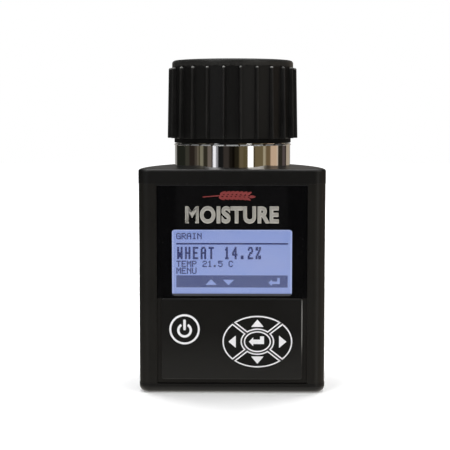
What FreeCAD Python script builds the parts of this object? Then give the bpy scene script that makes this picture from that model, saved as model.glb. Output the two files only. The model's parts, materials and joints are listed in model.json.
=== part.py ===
"""Hand-held grain moisture meter: a boxed instrument with a screw-capped sample cell on top.

Frame: X to the right, Y to the back, Z up, millimetres. The origin is the centre of the
footprint, on the surface that the meter stands on. The sample cell's axis is at x = 0, y = cell_y.
"""

import FreeCAD
import Part
import Sketcher
import math
import os
import re
from FreeCAD import Placement, Rotation, Vector

DIMENSIONS = {
    # plan of the body: a straight front, bowed sides and a short straight back
    "body_width": 103.2,
    "face_y": -40.4,
    "rear_y": 41.0,
    "front_corner": 6.5,
    "side_bow": 130.0,
    "rear_corner": 14.0,
    # heights of the three shells
    "base_top": 5.2,
    "cover_line": 116.0,
    "body_top": 124.0,
    "wall": 3.0,
    "shell_step": 0.15,
    "base_skin": 2.2,
    "cover_skin": 3.0,
    "base_round": 3.6,
    "top_round": 1.3,
    "lip_depth": 2.5,
    "lip_gap": 0.15,
    "lip_wall": 1.6,
    "join": 0.5,
    # screw channels in the four corners
    "channel_radius": 3.8,
    "relief_gap": 0.3,
    "rear_channel_x": 31.2,
    "rear_channel_y": 24.0,
    "shell_screw": 1.5,
    "screw_play": 0.1,
    "thread_bite": 0.2,
    "shank_inset": 0.25,
    "top_screw_end": 108.0,
    "base_screw_end": 13.2,
    "head_recess": 0.7,
    "slot_half": 1.6,
    "slot_width": 0.6,
    "slot_depth": 1.0,
    # recess down the front, display panel and window
    "recess_half": 41.4,
    "recess_y": -39.2,
    "recess_top": 115.1,
    "panel_skin": 0.5,
    "panel_gap": 0.1,
    "panel_low": 52.9,
    "window_half": 33.0,
    "window_low": 54.3,
    "window_top": 90.8,
    "window_corner": 1.6,
    "lens_margin": 1.0,
    "lens_skin": 1.0,
    "lens_gap": 0.1,
    # keypad plate and keys
    "plate_half": 38.8,
    "plate_low": 7.8,
    "plate_y": -40.8,
    "plate_corner": 1.5,
    "plate_round": 0.5,
    "key_y": -41.0,
    "key_flange": 1.0,
    "flange_skin": 0.8,
    "flange_y": -39.1,
    "hole_gap": 0.35,
    "key_gap": 0.4,
    "opening_gap": 0.6,
    "stem_sink": 0.2,
    "arrow_rise": 10.5,
    "arrow_reach": 13.8,
    "power_x": -26.1,
    "power_z": 35.8,
    "power_radius": 8.6,
    "nav_x": 14.05,
    "nav_z": 29.0,
    "nav_wide": 19.4,
    "nav_tall": 14.6,
    "nav_inner_wide": 8.35,
    "nav_inner_tall": 6.45,
    "enter_wide": 7.7,
    "enter_tall": 6.05,
    "nav_ray": 38.0,
    "stem_radius": 2.4,
    "plunger_y": -37.0,
    "plunger_radius": 1.7,
    "plunger_play": 0.05,
    "plunger_rest": 0.8,
    "switch_half": 3.0,
    "switch_skin": 0.1,
    # circuit boards
    "board_skin": 1.6,
    "keypad_board_left": -36.0,
    "keypad_board_right": 37.5,
    "keypad_board_low": 13.2,
    "keypad_board_top": 45.0,
    "main_board_half": 42.0,
    "main_board_low": 7.5,
    "main_board_top": 104.0,
    "spacer_radius": 2.0,
    "lcd_spacer_x": 36.0,
    "keypad_board_y": -34.6,
    "lcd_y": -37.3,
    "lcd_side": 4.0,
    "lcd_above": 2.4,
    "frame_wall": 1.0,
    "frame_skin": 0.4,
    "frame_lip": 0.8,
    "frame_play": 0.2,
    "glass_skin": 1.8,
    "board_side": 6.8,
    "lcd_board_y": -32.0,
    "main_board_y": -27.4,
    "post_radius": 2.4,
    "post_gap": 0.2,
    "post_x": 38.0,
    "post_low": 10.6,
    "post_middle": 48.9,
    "post_high": 98.5,
    "board_screw": 1.2,
    "board_screw_head": 2.2,
    "board_screw_rise": 1.5,
    "board_screw_length": 7.0,
    "tap_depth": 8.0,
    # sample cell
    "cell_y": 2.5,
    "ring_radius": 33.3,
    "ring_top": 137.2,
    "neck_radius": 30.6,
    "rim_z": 161.0,
    "bore_radius": 28.5,
    "tube_radius": 31.0,
    "tube_low": 106.0,
    "floor_z": 110.0,
    "floor_radius": 29.6,
    "flange_radius": 35.0,
    "flange_low": 117.2,
    "gasket_low": 120.2,
    "clamp_low": 115.0,
    "clamp_inset": 5.0,
    "clamp_screw_radius": 38.0,
    "clamp_boss": 2.3,
    "clamp_screw": 1.2,
    "clamp_hole": 1.6,
    "clamp_head": 2.4,
    "clamp_head_rise": 1.8,
    "clamp_screw_length": 6.5,
    "seat_gap": 0.3,
    "collar_gap": 0.15,
    "tube_gap": 0.2,
    "edge_break": 0.6,
    "electrode_radius": 5.5,
    "electrode_top": 126.0,
    "stud_radius": 2.0,
    "sensor_board_z": 100.0,
    "sensor_board_radius": 24.0,
    "floor_screw_place": 19.0,
    "floor_boss": 2.6,
    "sensor_screw": 1.2,
    "sensor_hole": 1.4,
    "sensor_head": 2.2,
    "sensor_head_rise": 1.5,
    "sensor_screw_length": 5.5,
    "nut_thick": 3.0,
    "stud_below": 5.0,
    "probe_place": 15.0,
    "probe_radius": 2.2,
    "probe_rise": 2.0,
    # screw thread between the cell's neck and the cap
    "pitch": 5.0,
    "thread_depth": 1.0,
    "thread_crest": 1.2,
    "thread_root": 2.2,
    "neck_thread_z": 144.5,
    "neck_thread_rise": 12.5,
    "cap_thread_rise": 9.0,
    # cap
    "cap_bore": 32.0,
    "cap_lip_radius": 33.6,
    "cap_lip_z": 137.6,
    "cap_radius": 34.8,
    "cap_top": 184.4,
    "cap_skin": 4.4,
    "cap_round": 1.8,
    "rib_low": 140.3,
    "rib_top": 180.2,
    "rib_radius_low": 37.6,
    "rib_radius_top": 36.85,
    "rib_count": 24,
    "rib_angle": 2.0,
    "hub_radius": 17.0,
    "hub_low": 169.5,
    "hub_bore": 14.9,
    "groove_low": 1.4,
    "groove_top": 2.8,
    "groove_depth": 0.7,
    "ring_reach": 3.5,
    "ring_play": 0.1,
    "washer_seat": 174.3,
    "washer_radius": 14.5,
    "washer_skin": 1.8,
    "washer_play": 0.1,
    "stem_play": 0.06,
    "guide_radius": 9.0,
    "button_radius": 8.6,
    "button_top": 180.4,
    "button_skin": 2.4,
    "plate_radius": 27.6,
    "plate_z": 150.0,
    "plate_skin": 3.0,
    "stem_rod": 5.0,
    "spring_radius": 9.0,
    "spring_wire": 1.8,
    # battery bay in the back
    "door_half": 15.7,
    "door_low": 11.5,
    "door_top": 67.7,
    "door_skin": 2.2,
    "door_gap": 0.3,
    "pin_radius": 0.9,
    "pin_gap": 0.05,
    "pin_length": 1.5,
    "pin_end": 0.2,
    "grip_half": 8.0,
    "grip_depth": 0.6,
    "grip_pitch": 3.0,
    "grip_height": 1.4,
    "grip_start": 3.6,
    "tray_skin": 1.6,
    "tray_y": 17.5,
    "battery_half": 13.25,
    "battery_depth": 17.5,
    "battery_low": 12.2,
    "battery_top": 58.6,
    "terminal_top": 61.2,
    "terminal_x": 6.35,
    "lead_radius": 0.7,
    "tray_gap": 0.2,
    "tray_drop": 1.3,
    "notch_half": 4.0,
    "pad_half": 12.0,
    "pad_low": 15.0,
    "pad_top": 55.0,
    "pad_skin": 1.0,
    "plus_radius": 2.8,
    "minus_radius": 4.0,
    "snap_half": 12.5,
    "snap_depth": 6.5,
    "snap_low": 0.6,
    "snap_top": 2.0,
    "socket_play": 0.1,
    "battery_corner": 1.6,
}

doc = FreeCAD.newDocument("GrainMoistureMeter")
sheet = doc.addObject("Spreadsheet::Sheet", "Sheet")
for row, (alias, number) in enumerate(DIMENSIONS.items(), start=1):
    sheet.set(f"A{row}", alias)
    sheet.set(f"B{row}", str(number))
    sheet.setAlias(f"B{row}", alias)
doc.recompute()

sub_parts = {}
WORD = re.compile(r"[a-z][a-z0-9_]*")
ALONG = {"x": Rotation(Vector(0, 1, 0), 90), "y": Rotation(Vector(1, 0, 0), -90), "z": Rotation()}
FAR = 60.0
CELL_CENTRE = ("0", "cell_y")


# ---------------------------------------------------------------- helpers

def on_sheet(rule):
    """A rule in the sheet's words, as an expression that FreeCAD can bind."""
    return WORD.sub(lambda m: f"Sheet.{m[0]}" if m[0] in DIMENSIONS else m[0], str(rule))


def size(rule):
    """The present value of a rule."""
    return float(sheet.evalExpression(on_sheet(rule)))


def bind(item, **rules):
    """Bind properties to rules; two underscores in a keyword stand for a dot."""
    for name, rule in rules.items():
        item.setExpression(name.replace("__", "."), on_sheet(rule))
    return item


def keep(label, item):
    """Name a finished sub-part and list it for export."""
    item.Label = label
    sub_parts[label] = item
    return item


def block(name, x, y, z):
    """A box between the low and high rules of each axis."""
    item = doc.addObject("Part::Box", name)
    for length, axis, (low, high) in zip(("Length", "Width", "Height"), "xyz", (x, y, z)):
        bind(item, **{length: f"({high}) - ({low})", f"Placement__Base__{axis}": low})
    return item


def either_side(rule):
    """The span from one side of the middle to the other."""
    return (f"-({rule})", rule)


def polar(radius, degrees):
    """A place on a circle about the cell's axis."""
    return f"{radius} * cos({degrees})", f"cell_y + {radius} * sin({degrees})"


def rod(name, radius, axis, ends, across):
    """A round bar along one axis between two rules, at two rules on the other axes."""
    item = doc.addObject("Part::Cylinder", name)
    item.Placement = Placement(Vector(), ALONG[axis])
    bind(item, Radius=radius, Height=f"({ends[1]}) - ({ends[0]})")
    for other, rule in zip([a for a in "xyz" if a != axis], across):
        bind(item, **{f"Placement__Base__{other}": rule})
    return bind(item, **{f"Placement__Base__{axis}": ends[0]})


def fuse(name, *items):
    whole = doc.addObject("Part::MultiFuse", name)
    whole.Shapes = list(items)
    whole.Refine = True
    return whole


def common(name, *items):
    whole = doc.addObject("Part::MultiCommon", name)
    whole.Shapes = list(items)
    return whole


def cut(name, base, *tools):
    """Base less the tools; several tools are first made one."""
    whole = doc.addObject("Part::Cut", name)
    whole.Base = base
    whole.Tool = tools[0] if len(tools) == 1 else fuse(name + "_tools", *tools)
    whole.Refine = True
    return whole


def group(name, *items):
    """Separate solids under one name."""
    whole = doc.addObject("Part::Compound", name)
    whole.Links = list(items)
    return whole


def fillet(name, base, radius, chosen):
    """Round the edges of base that chosen picks by their bounding box."""
    doc.recompute()
    item = doc.addObject("Part::Fillet", name)
    item.Base = base
    value = size(radius)
    item.Edges = [(i, value, value) for i, e in enumerate(base.Shape.Edges, 1) if chosen(e.BoundBox)]
    return item


def flat_at(axis, rule):
    """Picks edges that lie in the plane where the axis has this value."""
    at = size(rule)
    low, high = f"{axis.upper()}Min", f"{axis.upper()}Max"
    return lambda b: abs(getattr(b, low) - at) < 1e-4 and abs(getattr(b, high) - at) < 1e-4


def parallel_to_y(b):
    return b.YLength > 1e-3 and b.XLength < 1e-3 and b.ZLength < 1e-3


def parallel_to_z(b):
    return b.ZLength > 1e-3 and b.XLength < 1e-3 and b.YLength < 1e-3


def rounded_block(name, x, y, z, corner):
    """A box whose four edges along Y are rounded."""
    return fillet(name, block(name + "_box", x, y, z), corner, parallel_to_y)


def new_body(label):
    body = doc.addObject("PartDesign::Body", label + "_body")
    return keep(label, body)


def sketch_in(body, plane, height, name):
    """A sketch on one of the body's origin planes, raised along that plane's normal."""
    sketch = body.newObject("Sketcher::SketchObject", name)
    support = next(f for f in body.Origin.OriginFeatures if f.Role == plane)
    sketch.AttachmentSupport = [(support, "")]
    sketch.MapMode = "FlatFace"
    return bind(sketch, AttachmentOffset__Base__z=height)


def hold_point(sketch, geo, pos, x, y):
    """Fix a point of a sketch at two rules."""
    for kind, rule, axis in (("DistanceX", x, -2), ("DistanceY", y, -1)):
        if rule == "0":
            sketch.addConstraint(Sketcher.Constraint("PointOnObject", geo, pos, axis))
            continue
        index = sketch.addConstraint(Sketcher.Constraint(kind, -1, 1, geo, pos, size(rule)))
        bind(sketch, **{f"Constraints[{index}]": rule})


def polygon(sketch, corners):
    """A closed outline of straight edges through corners given as pairs of rules."""
    points = [Vector(size(x), size(y), 0) for x, y in corners]
    count = len(points)
    for i in range(count):
        sketch.addGeometry(Part.LineSegment(points[i], points[(i + 1) % count]), False)
    for i, (x, y) in enumerate(corners):
        sketch.addConstraint(Sketcher.Constraint("Coincident", i, 2, (i + 1) % count, 1))
        hold_point(sketch, i, 1, x, y)


def turned(label, corners):
    """A body turned about the cell's axis from corners given as (radius, z) rules."""
    body = new_body(label)
    profile = sketch_in(body, "XZ_Plane", "-cell_y", label + "_profile")
    polygon(profile, corners)
    turn = body.newObject("PartDesign::Revolution", label + "_turn")
    turn.Profile = profile
    turn.ReferenceAxis = (profile, ["V_Axis"])
    turn.Angle = 360
    return body


def soften(body, radius, chosen):
    """Round the edges of a body's last feature."""
    doc.recompute()
    last = body.Tip
    edges = [f"Edge{i}" for i, e in enumerate(last.Shape.Edges, 1) if chosen(e.BoundBox)]
    rounding = body.newObject("PartDesign::Fillet", body.Label + "_rounding")
    rounding.Base = (last, edges)
    return bind(rounding, Radius=radius)


def thread(body, corners, rise):
    """A helical ridge about the cell's axis with a profile given as (radius, z) rules."""
    profile = sketch_in(body, "XZ_Plane", "-cell_y", body.Label + "_thread_profile")
    polygon(profile, corners)
    doc.recompute()
    ridge = body.newObject("PartDesign::AdditiveHelix", body.Label + "_thread")
    ridge.Profile = profile
    ridge.ReferenceAxis = (profile, ["V_Axis"])
    ridge.Mode = "pitch-height-angle"
    ridge.LeftHanded = False
    bind(ridge, Pitch="pitch", Height=rise)
    return ridge


# ---------------------------------------------------------------- plan of the body

def plan_sketch():
    """The body's plan: straight front, corner arcs, bowed sides, rear arcs and a straight back."""
    half, bow = size("body_width / 2"), size("side_bow")
    front, rear = size("front_corner"), size("rear_corner")
    y_front, y_rear = size("face_y"), size("rear_y")
    y_corner, y_back = y_front + front, y_rear - rear
    x_bow = half - bow
    x_rear = x_bow + math.sqrt((bow - rear) ** 2 - (y_back - y_corner) ** 2)
    meet = math.atan2(y_back - y_corner, x_rear - x_bow)

    def arc(x, y, radius, start, end):
        ring = Part.Circle(Vector(x, y, 0), Vector(0, 0, 1), radius)
        return Part.ArcOfCircle(ring, start, end)

    def line(xa, ya, xb, yb):
        return Part.LineSegment(Vector(xa, ya, 0), Vector(xb, yb, 0))

    quarter = math.pi / 2
    sketch = doc.addObject("Sketcher::SketchObject", "plan")
    sketch.addGeometry(
        [
            line(front - half, y_front, half - front, y_front),
            arc(half - front, y_corner, front, -quarter, 0),
            arc(x_bow, y_corner, bow, 0, meet),
            arc(x_rear, y_back, rear, meet, quarter),
            line(x_rear, y_rear, -x_rear, y_rear),
            arc(-x_rear, y_back, rear, quarter, math.pi - meet),
            arc(-x_bow, y_corner, bow, math.pi - meet, math.pi),
            arc(front - half, y_corner, front, math.pi, math.pi + quarter),
        ],
        False,
    )
    for i in range(8):
        sketch.addConstraint(Sketcher.Constraint("Tangent", i, 2, (i + 1) % 8, 1))
    for straight in (0, 4):
        sketch.addConstraint(Sketcher.Constraint("Symmetric", straight, 1, straight, 2, -2))
    sketch.addConstraint(Sketcher.Constraint("Horizontal", 1, 3, 2, 3))
    for left, right in ((7, 1), (6, 2), (5, 3)):
        sketch.addConstraint(Sketcher.Constraint("Equal", left, right))
    for geo, rule in ((1, "front_corner"), (2, "side_bow"), (3, "rear_corner")):
        index = sketch.addConstraint(Sketcher.Constraint("Radius", geo, size(rule)))
        bind(sketch, **{f"Constraints[{index}]": rule})
    for kind, geo, pos, rule in (
        ("DistanceX", 1, 2, "body_width / 2"),
        ("DistanceY", 0, 2, "face_y"),
        ("DistanceY", 4, 1, "rear_y"),
    ):
        index = sketch.addConstraint(Sketcher.Constraint(kind, -1, 1, geo, pos, size(rule)))
        bind(sketch, **{f"Constraints[{index}]": rule})
    return sketch


plan = plan_sketch()


def prism(name, inset, low, high):
    """The body's plan, drawn in by an inset and raised between two heights."""
    source = plan
    if inset != "0":
        source = doc.addObject("Part::Offset2D", name + "_outline")
        source.Source = plan
        source.Join = "Arc"
        bind(source, Value=f"-({inset})")
    item = doc.addObject("Part::Extrusion", name)
    item.Base = source
    item.DirMode = "Custom"
    item.Dir = Vector(0, 0, 1)
    item.Solid = True
    return bind(item, LengthFwd=f"({high}) - ({low})", Placement__Base__z=low)


CHANNELS = [
    (f"{side} * (body_width / 2 - front_corner)", "face_y + front_corner") for side in (-1, 1)
] + [(f"{side} * rear_channel_x", "rear_channel_y") for side in (-1, 1)]


def channel_rods(name, radius, low, high):
    return [rod(f"{name}_{i}", radius, "z", (low, high), at) for i, at in enumerate(CHANNELS)]


def lip(name, low, high):
    """The locating ring of a cover, cleared around the screw channels."""
    ring = cut(
        name + "_ring",
        prism(name + "_outer", "wall + lip_gap", low, high),
        prism(name + "_inner", "wall + lip_gap + lip_wall", f"{low} - 1", f"{high} + 1"),
    )
    return cut(name, ring, *channel_rods(name + "_relief", "channel_radius + relief_gap", f"{low} - 1", high))


# ---------------------------------------------------------------- shells

POST_HEIGHTS = ("post_low", "post_middle", "post_high")
POSTS = [(f"{side} * post_x", height) for side in (-1, 1) for height in POST_HEIGHTS]
DOOR_AXIS = ("rear_y - shell_step - door_skin / 2", "door_low")
CLAMP_ANGLES = (0, 180, -50, -130)
CLAMP_POINTS = [polar("clamp_screw_radius", angle) for angle in CLAMP_ANGLES]


def main_housing():
    shell = cut(
        "housing_shell",
        prism("housing_outer", "shell_step", "base_top", "cover_line"),
        prism("housing_inner", "wall", "base_top - 1", "cover_line + 1"),
    )
    posts = [
        rod(f"post_{i}", "post_radius", "y", ("face_y + wall - join", "main_board_y"), at)
        for i, at in enumerate(POSTS)
    ]
    channels = channel_rods("channel", "channel_radius", "base_top", "cover_line")
    filled = fuse("housing_filled", shell, *channels, *posts)
    recess = block(
        "front_recess",
        ("-recess_half", "recess_half"),
        ("face_y - 1", "recess_y"),
        ("base_top - 1", "recess_top"),
    )
    window = rounded_block(
        "window_cut",
        ("-window_half", "window_half"),
        ("recess_y - 1", "face_y + wall + 1"),
        ("window_low", "window_top"),
        "window_corner",
    )
    ledge = block(
        "lens_ledge",
        ("-window_half - lens_margin", "window_half + lens_margin"),
        ("recess_y - 1", "recess_y + lens_skin"),
        ("window_low - lens_margin", "window_top + lens_margin"),
    )
    keypad = block(
        "keypad_opening",
        ("power_x - power_radius - key_flange - opening_gap", "nav_x + nav_wide + key_flange + opening_gap"),
        ("recess_y - 1", "face_y + wall + 1"),
        ("post_low + post_radius + post_gap", "post_middle - post_radius - opening_gap"),
    )
    bay = block(
        "bay_opening",
        ("-door_half - door_gap", "door_half + door_gap"),
        ("rear_y - wall - 1", "rear_y + 1"),
        ("door_low - door_skin / 2 - door_gap", "door_top + door_gap"),
    )
    pins = rod(
        "pin_holes",
        "pin_radius + pin_gap",
        "x",
        ("-door_half - pin_length - pin_end", "door_half + pin_length + pin_end"),
        DOOR_AXIS,
    )
    pilots = channel_rods("pilot", "shell_screw - thread_bite", "base_top - 1", "cover_line + 1")
    taps = [
        rod(f"tap_{i}", "board_screw", "y", ("main_board_y - tap_depth", "main_board_y + 1"), at)
        for i, at in enumerate(POSTS)
    ]
    keep("main_housing", cut("housing", filled, recess, window, ledge, keypad, bay, pins, *pilots, *taps))


def top_cover():
    rounded = fillet(
        "cover_rounded",
        prism("cover_outer", "0", "cover_line", "body_top"),
        "top_round",
        flat_at("z", "body_top"),
    )
    cavity = prism("cover_cavity", "wall + lip_gap + lip_wall", "cover_line - 1", "body_top - cover_skin")
    ceiling = "body_top - cover_skin + join"
    corner_posts = channel_rods("cover_post", "channel_radius", "cover_line", ceiling)
    bosses = [
        rod(f"clamp_boss_{i}", "clamp_boss", "z", ("flange_low", ceiling), at)
        for i, at in enumerate(CLAMP_POINTS)
    ]
    shell = fuse(
        "cover_shell",
        cut("cover_hollow", rounded, cavity),
        lip("cover_lip", "cover_line - lip_depth", "cover_line"),
        *corner_posts,
        *bosses,
    )
    seat_ends = ("cover_line - lip_depth - 1", "body_top - cover_skin")
    seat = rod("flange_seat", "flange_radius + seat_gap", "z", seat_ends, CELL_CENTRE)
    hole = rod("collar_hole", "ring_radius + collar_gap", "z", ("cover_line", "body_top + 1"), CELL_CENTRE)
    holes = channel_rods("cover_hole", "shell_screw + screw_play", "cover_line - 1", "body_top + 1")
    sinks = [countersink(f"cover_sink_{i}", at, "body_top", "screw_play") for i, at in enumerate(CHANNELS)]
    taps = [
        rod(f"clamp_tap_{i}", "clamp_screw", "z", ("flange_low - 1", "body_top - clamp_head_rise"), at)
        for i, at in enumerate(CLAMP_POINTS)
    ]
    keep("top_cover", cut("cover", shell, seat, hole, *holes, *sinks, *taps))


def countersink(name, at, top, extra):
    """A cone for a flat screw head, its wide end flush with the top."""
    cone = doc.addObject("Part::Cone", name)
    bind(cone, Radius1=f"shell_screw + {extra}", Radius2=f"2 * shell_screw + {extra}", Height="shell_screw")
    bind(cone, Placement__Base__x=at[0], Placement__Base__y=at[1])
    return bind(cone, Placement__Base__z=f"{top} - shell_screw")


def base_cover():
    outer = prism("base_outer", "0", "0", "base_top")
    rounded = fillet("base_rounded", outer, "base_round", flat_at("z", "0"))
    cavity = prism("base_cavity", "wall + lip_gap + lip_wall", "base_skin", "base_top + lip_depth")
    lands = channel_rods("base_land", "channel_radius", "base_skin - join", "base_top")
    shell = fuse(
        "base_shell",
        cut("base_hollow", rounded, cavity),
        lip("base_lip", "base_top", "base_top + lip_depth"),
        *lands,
    )
    holes = channel_rods("base_hole", "shell_screw + screw_play", "-1", "base_top + 1")
    bores = channel_rods("base_bore", "2 * shell_screw + thread_bite", "-1", "shell_screw + head_recess")
    keep("base_cover", cut("base", shell, *holes, *bores))


# ---------------------------------------------------------------- front face

def display_panel():
    """Thin glossy skin in the upper recess, with the window cut out of it."""
    body = new_body("display_panel")
    outline = sketch_in(body, "XZ_Plane", "-recess_y", "panel_outline")
    polygon(
        outline,
        [
            ("-recess_half + panel_gap", "panel_low"),
            ("recess_half - panel_gap", "panel_low"),
            ("recess_half - panel_gap", "recess_top - panel_gap"),
            ("-recess_half + panel_gap", "recess_top - panel_gap"),
        ],
    )
    skin = body.newObject("PartDesign::Pad", "panel_skin_pad")
    skin.Profile = outline
    bind(skin, Length="panel_skin")
    doc.recompute()
    opening = sketch_in(body, "XZ_Plane", "panel_skin + 1 - recess_y", "panel_opening")
    polygon(
        opening,
        [
            ("-window_half", "window_low"),
            ("window_half", "window_low"),
            ("window_half", "window_top"),
            ("-window_half", "window_top"),
        ],
    )
    hole = body.newObject("PartDesign::Pocket", "panel_window")
    hole.Profile = opening
    hole.Reversed = False
    bind(hole, Length="panel_skin + 2")
    inside_panel = size("window_half + panel_gap")
    soften(body, "window_corner", lambda b: parallel_to_y(b) and abs(b.XMin) < inside_panel)


def display_lens():
    margin = "lens_margin - lens_gap"
    keep(
        "display_lens",
        block(
            "lens",
            (f"-window_half - ({margin})", f"window_half + {margin}"),
            ("recess_y", "recess_y + lens_skin"),
            (f"window_low - ({margin})", f"window_top + {margin}"),
        ),
    )


def ellipse_bar(name, wide, tall, low, high):
    """An elliptical bar along Y, centred on the direction keys."""
    ring = doc.addObject("Part::Ellipse", name + "_ring")
    bind(ring, MajorRadius=wide, MinorRadius=tall)
    bar = doc.addObject("Part::Extrusion", name)
    bar.Base = ring
    bar.DirMode = "Custom"
    bar.Dir = Vector(0, 0, 1)
    bar.Solid = True
    bar.Placement = Placement(Vector(), ALONG["y"])
    bind(bar, LengthFwd=f"({high}) - ({low})", Placement__Base__y=low)
    return bind(bar, Placement__Base__x="nav_x", Placement__Base__z="nav_z")


def keypad_plate():
    slab = rounded_block(
        "plate_slab",
        ("-plate_half", "plate_half"),
        ("plate_y", "recess_y"),
        ("plate_low", "panel_low"),
        "plate_corner",
    )
    rounded = fillet("plate_rounded", slab, "plate_round", flat_at("y", "plate_y"))
    through = ("plate_y - 1", "recess_y + 1")
    power = rod("power_hole", "power_radius + hole_gap", "y", through, ("power_x", "power_z"))
    arrows = ellipse_bar("nav_hole", "nav_wide + hole_gap", "nav_tall + hole_gap", *through)
    keep("keypad_plate", cut("keypad", rounded, power, arrows))


KEY_CENTRES = {
    "power": ("power_x", "power_z"),
    "up": ("nav_x", "nav_z + arrow_rise"),
    "down": ("nav_x", "nav_z - arrow_rise"),
    "left": ("nav_x - arrow_reach", "nav_z"),
    "right": ("nav_x + arrow_reach", "nav_z"),
    "enter": ("nav_x", "nav_z"),
}


def stem(name):
    """The post behind a key that presses its switch."""
    return rod(f"{name}_stem", "stem_radius", "y", ("flange_y + stem_sink", "plunger_y"), KEY_CENTRES[name])


def half_plane(name, ray, above):
    """A large block on one side of a ray through the direction keys' centre, half a key gap away."""
    item = block(name, ("0", 2 * FAR), ("key_y - 1", "plunger_y"), ("0", FAR))
    item.Placement = Placement(Vector(), Rotation(Vector(0, -1, 0), size(ray)))
    shift = "key_gap / 2" if above else f"-({FAR} + key_gap / 2)"
    bind(item, Placement__Base__x=f"nav_x - {FAR} * cos({ray}) - ({shift}) * sin({ray})")
    return bind(item, Placement__Base__z=f"nav_z - {FAR} * sin({ray}) + ({shift}) * cos({ray})")


def arrow_key(name, above_rising, above_falling):
    """A sector of the elliptical ring between two rays, with a wider flange behind the plate."""
    flange_back = "flange_y + flange_skin"
    flange_size = ("nav_wide + key_flange", "nav_tall + key_flange")
    ring = fuse(
        name + "_rim",
        ellipse_bar(name + "_face", "nav_wide", "nav_tall", "key_y", flange_back),
        ellipse_bar(name + "_flange", *flange_size, "flange_y", flange_back),
    )
    inner = ellipse_bar(name + "_inner", "nav_inner_wide", "nav_inner_tall", "key_y - 1", "plunger_y")
    sector = common(
        name + "_sector",
        cut(name + "_ring", ring, inner),
        half_plane(name + "_rising", "nav_ray", above_rising),
        half_plane(name + "_falling", "-nav_ray", above_falling),
    )
    keep("key_" + name, fuse(name + "_key", sector, stem(name)))


def keys():
    flange_back = "flange_y + flange_skin"
    centre = KEY_CENTRES["power"]
    disc = rod("power_face", "power_radius", "y", ("key_y", flange_back), centre)
    collar = rod("power_flange", "power_radius + key_flange", "y", ("flange_y", flange_back), centre)
    keep("key_power", fuse("power_key", disc, collar, stem("power")))
    arrow_key("up", True, True)
    arrow_key("down", False, False)
    arrow_key("right", False, True)
    arrow_key("left", True, False)
    face = ellipse_bar("enter_face", "enter_wide", "enter_tall", "key_y", "flange_y + flange_skin")
    keep("key_enter", fuse("enter_key", face, stem("enter")))
    for name, centre in KEY_CENTRES.items():
        ends = ("plunger_y", "keypad_board_y - plunger_rest")
        pin = rod(f"{name}_pin", "plunger_radius", "y", ends, centre)
        keep("plunger_" + name, pin)


def switch_housings():
    """One small square switch behind each key; its plunger slides in the round hole."""
    switches = []
    for name, (x, z) in KEY_CENTRES.items():
        case = block(
            f"{name}_case",
            (f"{x} - switch_half", f"{x} + switch_half"),
            ("plunger_y + plunger_rest", "keypad_board_y"),
            (f"{z} - switch_half", f"{z} + switch_half"),
        )
        ends = ("plunger_y", "keypad_board_y - switch_skin")
        hole = rod(f"{name}_case_hole", "plunger_radius + plunger_play", "y", ends, (x, z))
        switches.append(cut(f"{name}_switch", case, hole))
    keep("switch_housings", group("switches", *switches))


# ---------------------------------------------------------------- display module and boards

BACK = "main_board_y + board_skin"


def display_module():
    tall = ("window_low - lcd_above", "window_top + lcd_above")
    frame = block("frame_outer", either_side("window_half + lcd_side"), ("lcd_y", "lcd_board_y"), tall)
    pocket = block(
        "frame_pocket",
        either_side("window_half + lcd_side - frame_wall"),
        ("lcd_y + frame_skin", "lcd_board_y + 1"),
        (f"{tall[0]} + frame_wall", f"{tall[1]} - frame_wall"),
    )
    opening = block(
        "frame_opening",
        either_side("window_half + frame_lip"),
        ("lcd_y - 1", "lcd_y + 1"),
        ("window_low - frame_lip", "window_top + frame_lip"),
    )
    keep("lcd_frame", cut("frame_made", frame, pocket, opening))
    wide = either_side("window_half + lcd_side - frame_wall - frame_play")
    inner = (f"{tall[0]} + frame_wall + frame_play", f"{tall[1]} - frame_wall - frame_play")
    glass_back = "lcd_y + frame_skin + glass_skin"
    keep("lcd_glass", block("glass_slab", wide, ("lcd_y + frame_skin", glass_back), inner))
    keep("lcd_backlight", block("backlight_slab", wide, (glass_back, "lcd_board_y"), inner))
    skin = ("lcd_board_y", "lcd_board_y + board_skin")
    keep("lcd_board", block("lcd_board_slab", either_side("window_half + board_side"), skin, tall))


SPACERS = [(x, z) for z in ("16", "43") for x in ("-33", "34.5")]
LCD_SPACER_HEIGHTS = ("window_low + frame_wall", "window_top - frame_wall")
LCD_SPACERS = [(f"{side} * lcd_spacer_x", z) for z in LCD_SPACER_HEIGHTS for side in (-1, 1)]


def boards():
    keypad = block(
        "keypad_board_slab",
        ("keypad_board_left", "keypad_board_right"),
        ("keypad_board_y", "keypad_board_y + board_skin"),
        ("keypad_board_low", "keypad_board_top"),
    )
    keep("keypad_board", keypad)
    slab = block(
        "main_board_slab",
        either_side("main_board_half"),
        ("main_board_y", "main_board_y + board_skin"),
        ("main_board_low", "main_board_top"),
    )
    through = ("main_board_y - 1", "main_board_y + board_skin + 1")
    hole = "board_screw + thread_bite"
    holes = [rod(f"board_hole_{i}", hole, "y", through, at) for i, at in enumerate(POSTS)]
    keep("main_board", cut("main_board_drilled", slab, *holes))
    spacers = []
    sets = (("spacer", "keypad_board_y", SPACERS), ("lcd_spacer", "lcd_board_y", LCD_SPACERS))
    for name, board, places in sets:
        ends = (f"{board} + board_skin", "main_board_y")
        spacers += [rod(f"{name}_{i}", "spacer_radius", "y", ends, at) for i, at in enumerate(places)]
    keep("board_spacers", group("spacers", *spacers))
    screws = []
    for i, at in enumerate(POSTS):
        head = rod(f"board_head_{i}", "board_screw_head", "y", (BACK, f"{BACK} + board_screw_rise"), at)
        shank = rod(f"board_shank_{i}", "board_screw", "y", ("main_board_y - board_screw_length", BACK), at)
        screws.append(fuse(f"board_screw_{i}", head, shank))
    keep("board_screws", group("board_screw_set", *screws))


def on_board(name, x, z, thickness):
    """A component on the back of the main board."""
    return block(name, x, (BACK, f"{BACK} + {thickness}"), z)


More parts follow.
